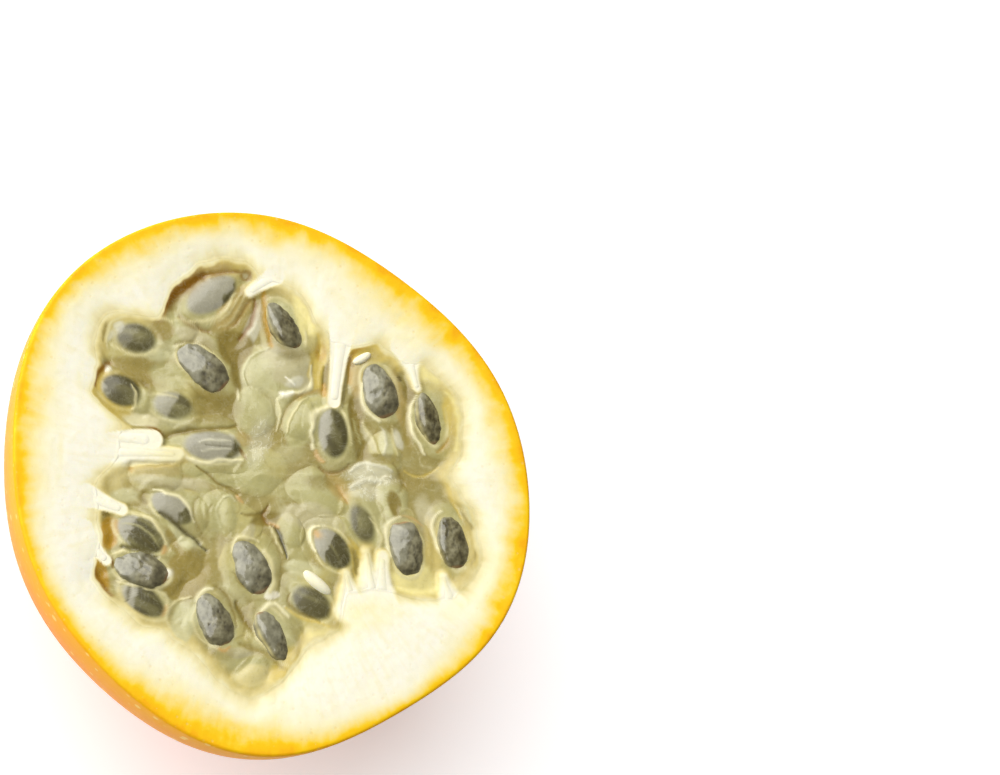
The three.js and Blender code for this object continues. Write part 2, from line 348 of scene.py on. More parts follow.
def specks_group():
    """Round specks scattered over a surface: a mask that is 1 inside each, and its size varies."""
    group = bpy.data.node_groups.new("specks", "ShaderNodeTree")
    group.interface.new_socket("Vector", in_out="INPUT", socket_type="NodeSocketVector")
    for label in ("Spacing", "Size", "Soft"):
        group.interface.new_socket(label, in_out="INPUT", socket_type="NodeSocketFloat")
    group.interface.new_socket("Mask", in_out="OUTPUT", socket_type="NodeSocketFloat")
    ins = add(group, "NodeGroupInput").outputs
    scale = maths(group, "DIVIDE", 1.0, ins["Spacing"])
    cells = add(group, "ShaderNodeTexVoronoi", {"Vector": ins["Vector"], "Scale": scale})
    drawn = add(group, "ShaderNodeSeparateColor", {"Color": cells.outputs["Color"]}).outputs[0]
    reach = times(group, maths(group, "MULTIPLY_ADD", drawn, 0.8, 0.35), ins["Size"])
    inside = maths(group, "SUBTRACT", reach, cells.outputs["Distance"])
    mask = maths(group, "DIVIDE", inside, ins["Soft"], clamp=True)
    add(group, "NodeGroupOutput", {"Mask": mask})
    return group


SPECKS = specks_group()


def specks(tree, vector, spacing, size, soft):
    """Specks placed in a material: spacing in millimetres, size and softness in shares of it."""
    inputs = {"Vector": vector, "Spacing": spacing * MM, "Size": size, "Soft": soft}
    return add(tree, "ShaderNodeGroup", inputs, node_tree=SPECKS).outputs["Mask"]


RIND_PATCHES = ((0.3, (232, 110, 4)), (0.52, (240, 132, 10)), (0.72, (246, 154, 20)))
RIND_NEAR_CUT = (250, 180, 24)
PALER_FROM = 24.0  # height from which the rind grows paler towards the cut
DOT_LARGE, DOT_SMALL = (254, 216, 120), (254, 204, 96)


def rind_material():
    """Waxy orange rind: deeper orange patches, pale dots and a leathery ripple."""
    made, tree, shader = new_material(
        "orange_rind",
        Subsurface_Weight=0.1, Subsurface_Radius=(1.0, 0.6, 0.2), Subsurface_Scale=0.0006,
        Coat_Weight=0.02, Coat_Roughness=0.3, Specular_IOR_Level=0.03,
    )
    place = object_place(tree)
    orange = ramp(tree, clouds(tree, place, 55.0, detail=3.0), RIND_PATCHES)
    height = add(tree, "ShaderNodeSeparateXYZ", {"Vector": place}).outputs[2]
    near_cut = span(tree, height, PALER_FROM * MM, CUT_LEVEL * MM, 0.0, 0.95)
    orange = blend(tree, near_cut, orange, rgba(RIND_NEAR_CUT))
    dots = specks(tree, place, spacing=2.1, size=0.27, soft=0.10)
    orange = blend(tree, times(tree, dots, 0.8), orange, rgba(DOT_LARGE))
    fine_dots = specks(tree, place, spacing=1.3, size=0.2, soft=0.10)
    orange = blend(tree, times(tree, fine_dots, 0.55), orange, rgba(DOT_SMALL))
    ripple = clouds(tree, place, 900.0)
    feed(shader, {
        "Base Color": orange,
        "Normal": bumps(tree, maths(tree, "MULTIPLY_ADD", dots, 0.35, ripple), strength=0.35, rise=0.12),
        "Roughness": span(tree, ripple, 0.0, 1.0, 0.32, 0.46),
    })
    return made


# Colours of the pith from the skin inwards, and from the hollow's edge outwards: place, colour.
PITH_BANDS = (
    (0.0, (246, 178, 0)), (0.05, (248, 192, 0)), (0.11, (248, 198, 4)), (0.15, (248, 206, 34)),
    (0.20, (248, 213, 86)), (0.27, (248, 220, 122)), (0.37, (248, 229, 156)), (0.50, (249, 238, 192)),
    (0.65, (249, 242, 210)), (1.0, (250, 245, 224)),
)
EDGE_BANDS = (
    (0.0, (198, 180, 104)), (0.2, (220, 206, 144)), (0.32, (235, 222, 168)), (0.48, (244, 235, 188)),
    (0.72, (250, 244, 214)), (1.0, (250, 246, 224)),
)
PITH_GRAIN, PITH_BLOTCH = (236, 200, 112), (247, 234, 158)
PITH_STREAK, PITH_MOTTLE = (240, 228, 172), (238, 229, 180)
BANDS_DEEP = 8.0  # how far in from the skin its bands reach
EDGE_IN, EDGE_OUT = -1.0, 4.0  # where the bands of the hollow's edge begin and end
RAY_STRETCH = 4.0  # how many times as long as wide the rays are
RAY_SWING, RAGGED_SWING, EDGE_SWING = 1.2, 3.2, 1.6  # how far the borders of the bands sway


def pith_material():
    """Cut pith: an orange line under the skin, a yellow band, then dotted cream that whitens inwards.

    The band's inner border is ragged and frays along rays from the middle, which are noise on the
    direction from the axis, stretched outwards. Juice stains the pith yellow near the hollow.
    """
    made, tree, shader = new_material(
        "white_pith",
        Subsurface_Weight=0.15, Subsurface_Radius=(1.0, 0.8, 0.5), Subsurface_Scale=0.0006,
        Coat_Weight=0.05, Coat_Roughness=0.3, Specular_IOR_Level=0.2,
    )
    place = object_place(tree)
    under, inside, stain = (carried_by(tree, label) for label in ("under_skin", "off_hollow", "stain"))
    x, y, _ = add(tree, "ShaderNodeSeparateXYZ", {"Vector": place}).outputs
    flat = add(tree, "ShaderNodeCombineXYZ", {"X": x, "Y": y}).outputs[0]
    way = add(tree, "ShaderNodeVectorMath", {0: flat}, operation="NORMALIZE").outputs["Vector"]
    out = add(tree, "ShaderNodeVectorMath", {0: flat}, operation="LENGTH").outputs["Value"]
    along = add(tree, "ShaderNodeCombineXYZ", {"Z": times(tree, out, 1.0 / RAY_STRETCH)}).outputs[0]
    inputs = {0: way, 1: (RIM_REACH * MM,) * 3, 2: along}
    spread = add(tree, "ShaderNodeVectorMath", inputs, operation="MULTIPLY_ADD").outputs["Vector"]
    rays = clouds(tree, spread, 800.0)
    fine = clouds(tree, place, 900.0, detail=3.0)

    deep = times(tree, under, sway(tree, clouds(tree, place, 80.0), 1.0, 1.0))
    deep = sway(tree, rays, RAY_SWING, deep)
    deep = sway(tree, clouds(tree, place, 330.0, detail=3.0), RAGGED_SWING, deep)
    depth = maths(tree, "DIVIDE", deep, BANDS_DEEP, clamp=True)
    grains = specks(tree, place, spacing=1.1, size=0.22, soft=0.12)
    near_skin = span(tree, under, 7.0, 1.0, 0.12, 0.45)
    pith = blend(tree, times(tree, grains, near_skin), ramp(tree, depth, PITH_BANDS), rgba(PITH_GRAIN))
    past_band = span(tree, depth, 0.12, 0.4)
    blotch = clouds(tree, place, 160.0, detail=4.0)
    soaked = times(tree, stain, span(tree, blotch, 0.35, 0.6, 0.35, 1.0))
    blotched = times(tree, span(tree, blotch, 0.56, 0.78, 0.0, 0.2), past_band)
    pith = blend(tree, maths(tree, "MAXIMUM", soaked, blotched), pith, rgba(PITH_BLOTCH))
    creamy = times(tree, past_band, 0.3)
    pith = blend(tree, times(tree, span(tree, rays, 0.5, 0.75), creamy), pith, rgba(PITH_STREAK))
    pith = blend(tree, times(tree, span(tree, fine, 0.5, 0.7), creamy), pith, rgba(PITH_MOTTLE))
    fuzzy = sway(tree, rays, EDGE_SWING, inside)
    juicy = ramp(tree, span(tree, fuzzy, EDGE_IN, EDGE_OUT), EDGE_BANDS)
    feed(shader, {
        "Base Color": blend(tree, span(tree, fuzzy, EDGE_OUT, 1.2), pith, juicy),
        "Normal": bumps(tree, maths(tree, "MULTIPLY_ADD", grains, -0.5, fine), strength=0.25, rise=0.12),
        "Roughness": span(tree, fine, 0.0, 1.0, 0.45, 0.65),
    })
    return made


# Yellow stains in the pith: x, y, turn, length, width, strength.
STAINS = (
    (12.0, -17.3, 15, 13.0, 6.0, 0.8), (24.0, -16.0, 40, 8.0, 4.0, 0.4), (9.2, 24.6, -45, 4.5, 2.4, 0.5),
    (-29.0, 2.5, 88, 7.0, 1.0, 0.4), (19.5, 19.0, -40, 9.0, 2.6, 0.3),
)
STAIN_SPREAD = 2.4  # how many millimetres further out a full stain brings the colours of the edge

# Where the hollow's edge is crisp and the jelly dark up to it: x, y, turn, length, width, strength.
CRISP_EDGES = (
    (-12.4, 24.6, 52, 11.0, 5.0, 1.0), (-24.4, -12.8, 112, 8.0, 4.6, 1.0), (-24.0, 12.8, 75, 6.0, 4.0, 0.8),
    (-23.4, -7.0, 80, 6.0, 3.0, 0.8), (11.4, 17.6, 45, 6.0, 3.0, 0.5),
)
CRISPNESS = 4.0  # how much steeper the colours run there, as a share
EDGE_RAGGED = ((0.35, 1.6, 56), (0.2, 0.6, 57))  # layers of noise on the border of the jelly
CALMED = 0.6  # the share of them that a crisp edge takes away
FAR = 9.0  # a distance beyond anything that counts

# The pegs on the hollow's wall: root x and y, tip x and y, radius at the root, radius at the tip, and
# how white the tip is, as the distance from the hollow at which the pith looks like it.
PEGS = (
    (9.9, 22.0, 8.2, 10.8, 2.0, 0.72, 3.2),
    (18.6, 18.6, 19.9, 13.1, 2.0, 0.3, 2.0),
    (23.4, -15.8, 22.5, -12.2, 1.5, 0.25, 1.0),
    (13.6, -16.0, 14.1, -9.8, 2.2, 0.6, 1.5),
    (12.6, -15.4, 12.0, -9.2, 0.9, 0.25, 0.2),
    (9.8, -16.4, 9.0, -12.2, 1.6, 0.3, 0.9),
    (-25.6, -3.0, -21.0, -4.6, 1.5, 0.6, 2.4),
    (-26.5, -8.0, -23.2, -11.3, 2.0, 0.5, 3.0),
    (0.6, 27.6, -2.9, 25.1, 1.2, 0.5, 2.4),
    (-23.6, 2.9, -13.4, 2.9, 1.1, 0.6, 0.9),
    (-22.4, 4.85, -16.6, 4.75, 0.5, 1.15, 3.0),
)
ROOT_WHITE = 3.4  # how white the roots are, in the same way
PEG_FLARE = 2
PEG_FADE = 1.2  # how fast their white fades beside them
FADE_GROWTH = 0.85  # how much faster beside whiter ones, as a power of e


def local(x, y, ovals):
    """Each point in the frame of each oval: along and across it, in its half length and half width."""
    turn = np.radians(ovals[:, 2])
    dx, dy = x[..., None] - ovals[:, 0], y[..., None] - ovals[:, 1]
    along = 2.0 * (dx * np.cos(turn) + dy * np.sin(turn)) / ovals[:, 3]
    across = 2.0 * (dy * np.cos(turn) - dx * np.sin(turn)) / ovals[:, 4]
    return along, across


def oval_share(x, y, ovals):
    """Soft ovals, each with its strength: the strongest one at each point."""
    along, across = local(x, y, np.array(ovals))
    return (ease(1.2 - np.hypot(along, across)) * np.array(ovals)[:, 5]).max(-1)


def peg_radius(share, wide, narrow):
    """Radius of a peg: the tip's, and more by the square of the share that is left to the root."""
    return mix(narrow, wide, (1.0 - share) ** PEG_FLARE)


def off_line(x, y, start, end):
    """Distance from a straight line, and how far along it the nearest point lies, from 0 to 1."""
    (start_x, start_y), (way_x, way_y) = start, np.subtract(end, start)
    share = ((x - start_x) * way_x + (y - start_y) * way_y) / (way_x**2 + way_y**2)
    share = np.clip(share, 0.0, 1.0)
    return np.hypot(x - start_x - share * way_x, y - start_y - share * way_y), share


def peg_sides(x, y):
    """Distance to the side of the nearest peg, and the most that a peg whitens each point.

    Beside a peg its white fades in proportion to the distance, and faster the whiter it is.
    """
    nearest, whitest = np.full(x.shape, FAR), np.full(x.shape, -FAR)
    for root_x, root_y, tip_x, tip_y, wide, narrow, white in PEGS:
        away, share = off_line(x, y, (root_x, root_y), (tip_x, tip_y))
        away = away - peg_radius(share, wide, narrow)
        nearest = np.minimum(nearest, away)
        fade = PEG_FADE * math.exp(FADE_GROWTH * white) * np.maximum(away, 0.0)
        whitest = np.maximum(whitest, mix(ROOT_WHITE, white, share) - fade)
    return nearest, whitest


def beyond_wall(x, y):
    """Distance outwards from the edge of the hollow."""
    return np.hypot(x, y) - hollow_reach(np.arctan2(y, x))


def past_edge(x, y):
    """How far out in the pith each point looks: the distance from the hollow's ragged edge outwards.

    It is less where juice has stained the pith, runs faster where the edge is crisp, and is more on
    the pegs and close beside them.
    """
    crisp = oval_share(x, y, CRISP_EDGES)
    edge = beyond_wall(x, y) * (1.0 + CRISPNESS * crisp) - STAIN_SPREAD * oval_share(x, y, STAINS)
    ragged = waver(x, y, EDGE_RAGGED) * (1.0 - CALMED * crisp)
    return np.maximum(edge, peg_sides(x, y)[1]) + ragged


# How fast the yellow under the skin fades inwards, by the angle in degrees.
BAND_KEYS = (
    (0, 1.0), (30, 0.75), (60, 0.68), (90, 1.15), (120, 1.05), (150, 1.3), (180, 1.15), (210, 2.4),
    (240, 0.8), (270, 0.8), (300, 2.3), (330, 0.85), (360, 1.0),
)

shell_grid = shell_rings()
shell_x, shell_y = shell_grid[..., 0], shell_grid[..., 1]
shell_angle, shell_out = np.arctan2(shell_y, shell_x), np.hypot(shell_x, shell_y)
band_speed = np.interp(np.degrees(shell_angle) % 360.0, *np.array(BAND_KEYS, float).T)
WHITE_PITH = pith_material()
shell = skin_mesh(
    "shell_skin", shell_grid,
    {
        "under_skin": (rim_reach(shell_angle) - shell_out) * band_speed,
        "off_hollow": past_edge(shell_x, shell_y),
        "stain": oval_share(shell_x, shell_y, STAINS),
    },
    (rind_material(), WHITE_PITH), second_from=DOME_RINGS + 2,
)
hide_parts("shell")
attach(shell, "root")

# ---- Pegs ----
# White stalks that grow from the wall and carried the seeds, cut short or torn off. The longest
# is the end of a partition between two pockets. They are pith all through.

PEG_TOP = 35.5  # the knife took their tops off here
PEG_DIP = 0.15  # how far their tops dip into the pith beyond the wall
DIP_FROM, DIP_OVER = 0.2, 0.6  # where they start to dip past the wall, and over what length
PEG_CROWN = 0.3  # the height of their rounded tops above their widest line, as a share of their radius
PEG_LUMPS = ((0.14, 1.5, 31),)  # a layer of noise on their sides: size, cell, seed
SHADED_BELOW = 0.2  # their white fades from this far below their tops
SHADE_FADE = 1.2  # and this fast
PEG_RINGS = 48
PEG_ROUND = 32


def peg_grid():
    """Pegs with flared roots and round tips: ovals along the line from root to tip, hung from one level.

    Each oval is as high as it is wide, but its widest line is close below its top, which is nearly
    flat. Beyond the wall the tops dip into the pith.
    """
    root_x, root_y, tip_x, tip_y, wide, narrow, white = np.array(PEGS).T[:, :, None, None]
    length = np.hypot(tip_x - root_x, tip_y - root_y)
    way_x, way_y = (tip_x - root_x) / length, (tip_y - root_y) / length
    turn = round_angles(PEG_ROUND)[None, None]
    along = mix(-wide, length, np.linspace(0.0, 1.0, PEG_RINGS)[None, :, None])
    shaft = length - narrow
    radius = peg_radius(np.clip(along / shaft, 0.0, 1.0), wide, narrow)
    crown = PEG_CROWN * radius
    middle, sag = PEG_TOP - crown, 2.0 * radius - crown
    ends = np.sqrt(1.0 - np.clip(-along / wide, 0.0, 1.0) ** 2)
    ends = ends * np.sqrt(1.0 - np.clip((along - shaft) / narrow, 0.0, 1.0) ** 2)
    radius = radius * ends
    across, up = radius * np.cos(turn), ends * np.where(turn < math.pi, crown, sag) * np.sin(turn)
    x = root_x + way_x * along - way_y * across
    y = root_y + way_y * along + way_x * across
    swell = np.clip(radius, 0.0, 1.0) * waver(x, y, PEG_LUMPS, middle + up)
    side, rise = swell * np.cos(turn), swell * np.minimum(np.sin(turn), 0.0)
    dip = PEG_DIP * ease((beyond_wall(x, y) - DIP_FROM) / DIP_OVER)
    shaded = SHADE_FADE * np.clip(PEG_TOP - SHADED_BELOW - middle - up, 0.0, FAR)
    whiteness = mix(ROOT_WHITE, white, np.clip(along / length, 0.0, 1.0)) - shaded
    return np.stack((x - way_y * side, y + way_x * side, middle + up + rise - dip), -1), whiteness


pegs_grid, peg_whiteness = peg_grid()
pegs = skin_mesh(
    "pith_pegs", pegs_grid,
    {"under_skin": np.full(peg_whiteness.shape, FAR), "off_hollow": peg_whiteness}, (WHITE_PITH,),
)
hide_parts("shell")
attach(pegs, "root")

# ---- Jelly ----
# The bags of clear grey-green jelly that grow round the seeds, pressed together in the hollow.
# Each swells over its seed and dips where it meets the next; some seeds show through as shadows.

PULP_LEVEL = 34.75  # height of the creases between the bags
WALL_LEVEL = 35.47  # where the jelly clings to the wall
CLING = 2.4  # how wide the slope up to the wall is
OVER_EDGE = 0.5  # how far the jelly's skin runs on into the rounded edge of the hollow
PEG_SHOWS, WHITE_SHOWS = 0.01, 0.02  # how far a peg stands out of it: at least, and more the whiter it is
PEG_FILLET = 0.9  # how wide the slope of jelly beside a peg is
JELLY_GAP = 0.35  # between the jelly and the wall, below its top
BAG_RISE = 0.65
BAG_BLEND = 0.9  # the difference in height over which two bags run into each other
BAG_MARGIN = 1.7
SEED_WIDTH = 4.5
SEED_THICKNESS = 2.6
# The film is left on the side towards the light, so its grey is partly painted sheen.
FILM_AND_SHEEN_SIDE = math.radians(160.0)  # the side of the seeds on which the film of the bags is left
JELLY_ROUND = 720
JELLY_TOP_RINGS = 124
JELLY_WALL_RINGS = 7
VEILED = 0.4  # seeds this deep in the jelly or deeper are shadows in it
VEILED_TOP = 35.85  # how high the jelly swells over them
COLLAR = 35.3  # how high it reaches round the bare ones
PATCH_LIFT, FOLD_LIFT = 0.6, 0.7  # the share of their lift that patches and folds get
FOLD_STRENGTH = 1.2  # times the strength that a fold gives
FOLD_STEPS = 9
FOLD_ENDS = 0.45  # how thick a fold is at its ends, as a share of its middle
FILM_AND_SHEEN_REACH = 2.2  # how far the border of a film moves over a seed, from none of it to all, in half widths
FILM_AND_SHEEN_BORDER = 0.16  # how soft that border is
DRY_EDGE = 2.0  # how wide the dry edge of the jelly is

# Layers of noise: size, cell, seed. The first two pairs bend the bags and the patches along x and y.
BAG_BENDS = ((0.7, 4.2, 41), (0.3, 1.8, 42)), ((0.7, 4.2, 43), (0.3, 1.8, 44))
PATCH_BENDS = ((0.3, 2.4, 53), (0.12, 0.9, 51)), ((0.3, 2.4, 54), (0.12, 0.9, 52))
FILM_AND_SHEEN_RAGGED = ((0.35, 1.6, 62), (0.12, 0.5, 63))

# Seeds: x, y, turn of the long axis in degrees, length, roll, how deep in the jelly (0 bare, 1 deep),
# and how much of it a torn grey film of its bag still covers. The film lies on the side towards the
# light, so its grey is partly painted sheen.
SEEDS = (
    (-8.1, 24.5, 34, 8.4, 10, 0.45, 1.0), (1.9, 20.9, -59, 7.2, 25, 0.0, 0.25),
    (-18.5, 18.1, -10, 6.0, 0, 0.6, 0.1), (-9.6, 14.7, -42, 8.0, 0, 0.15, 0.6),
    (-20.7, 11.1, -22, 6.0, 0, 0.5, 0.0), (-13.8, 9.4, -8, 6.0, 30, 0.65, 0.5),
    (-8.6, 4.2, -3, 8.4, 0, 0.5, 1.0), (14.6, 12.6, -75, 7.4, 0, 0.0, 0.6),
    (21.7, 9.2, -78, 7.2, 30, 0.0, 0.1), (7.9, 6.6, -87, 7.2, 0, 0.45, 0.4),
    (-14.3, -4.2, -32, 6.4, 50, 0.4, 0.85), (-18.5, -7.7, -29, 7.2, 0, 0.4, 0.3),
    (-18.6, -12.3, -14, 7.3, 10, 0.0, 0.5), (-18.5, -16.3, -32, 6.8, 40, 0.5, 0.35),
    (-3.9, -11.5, -66, 7.5, 0, 0.1, 0.75), (-9.1, -18.6, -67, 7.4, 0, 0.0, 0.5),
    (-1.0, -20.4, 117, 7.2, -30, 0.0, 0.6), (4.1, -16.1, -32, 6.4, 0, 0.6, 0.0),
    (7.2, -8.9, -50, 6.5, 0, 0.45, 0.5), (11.4, -5.4, -70, 6.2, 45, 0.75, 0.2),
    (17.5, -8.6, 100, 7.4, 0, 0.0, 0.55), (24.0, -7.5, -80, 7.0, 15, 0.05, 0.2),
)

# Bags with no seed in sight: x, y, turn, length, width.
EMPTY_BAGS = (
    (1.2, 14.6, -28, 9.5, 7.5), (3.4, 8.6, -60, 8, 6), (-2.6, 9.0, 80, 7, 5), (-2.0, 1.0, 20, 8, 6),
    (5.5, -1.5, -30, 8, 6), (15.0, 3.8, -70, 7, 5), (16.0, -2.4, -80, 7, 4), (-13.0, -10.9, 60, 7, 5),
    (-6.6, -5.2, -30, 9, 6), (1.5, -6.8, -66, 6, 4), (-6.6, -23.0, 10, 6, 5), (-4.2, -26.0, 30, 6, 4),
    (-16.0, 0.4, 10, 8, 5), (-13.4, 19.6, 30, 6, 5),
)

TINTS = {
    "gel": (184, 177, 118), "deep": (160, 142, 74), "olive": (140, 122, 56), "dark": (96, 88, 48),
    "black": (60, 50, 24), "shade": (90, 84, 52), "pale": (207, 202, 152), "beige": (197, 188, 144),
    "frost": (218, 213, 182), "fluff": (214, 208, 172), "lilac": (168, 163, 140), "cream": (240, 231, 182),
    "white": (252, 246, 218), "outline": (224, 213, 156), "gold": (210, 186, 92), "straw": (240, 226, 150),
    "tan": (186, 162, 94), "amber": (182, 142, 46), "brown": (132, 92, 22), "rose": (200, 164, 98),
    "bank": (206, 186, 108), "edge": (226, 210, 144),
}
TINTS = {name: linear(colour) for name, colour in TINTS.items()}
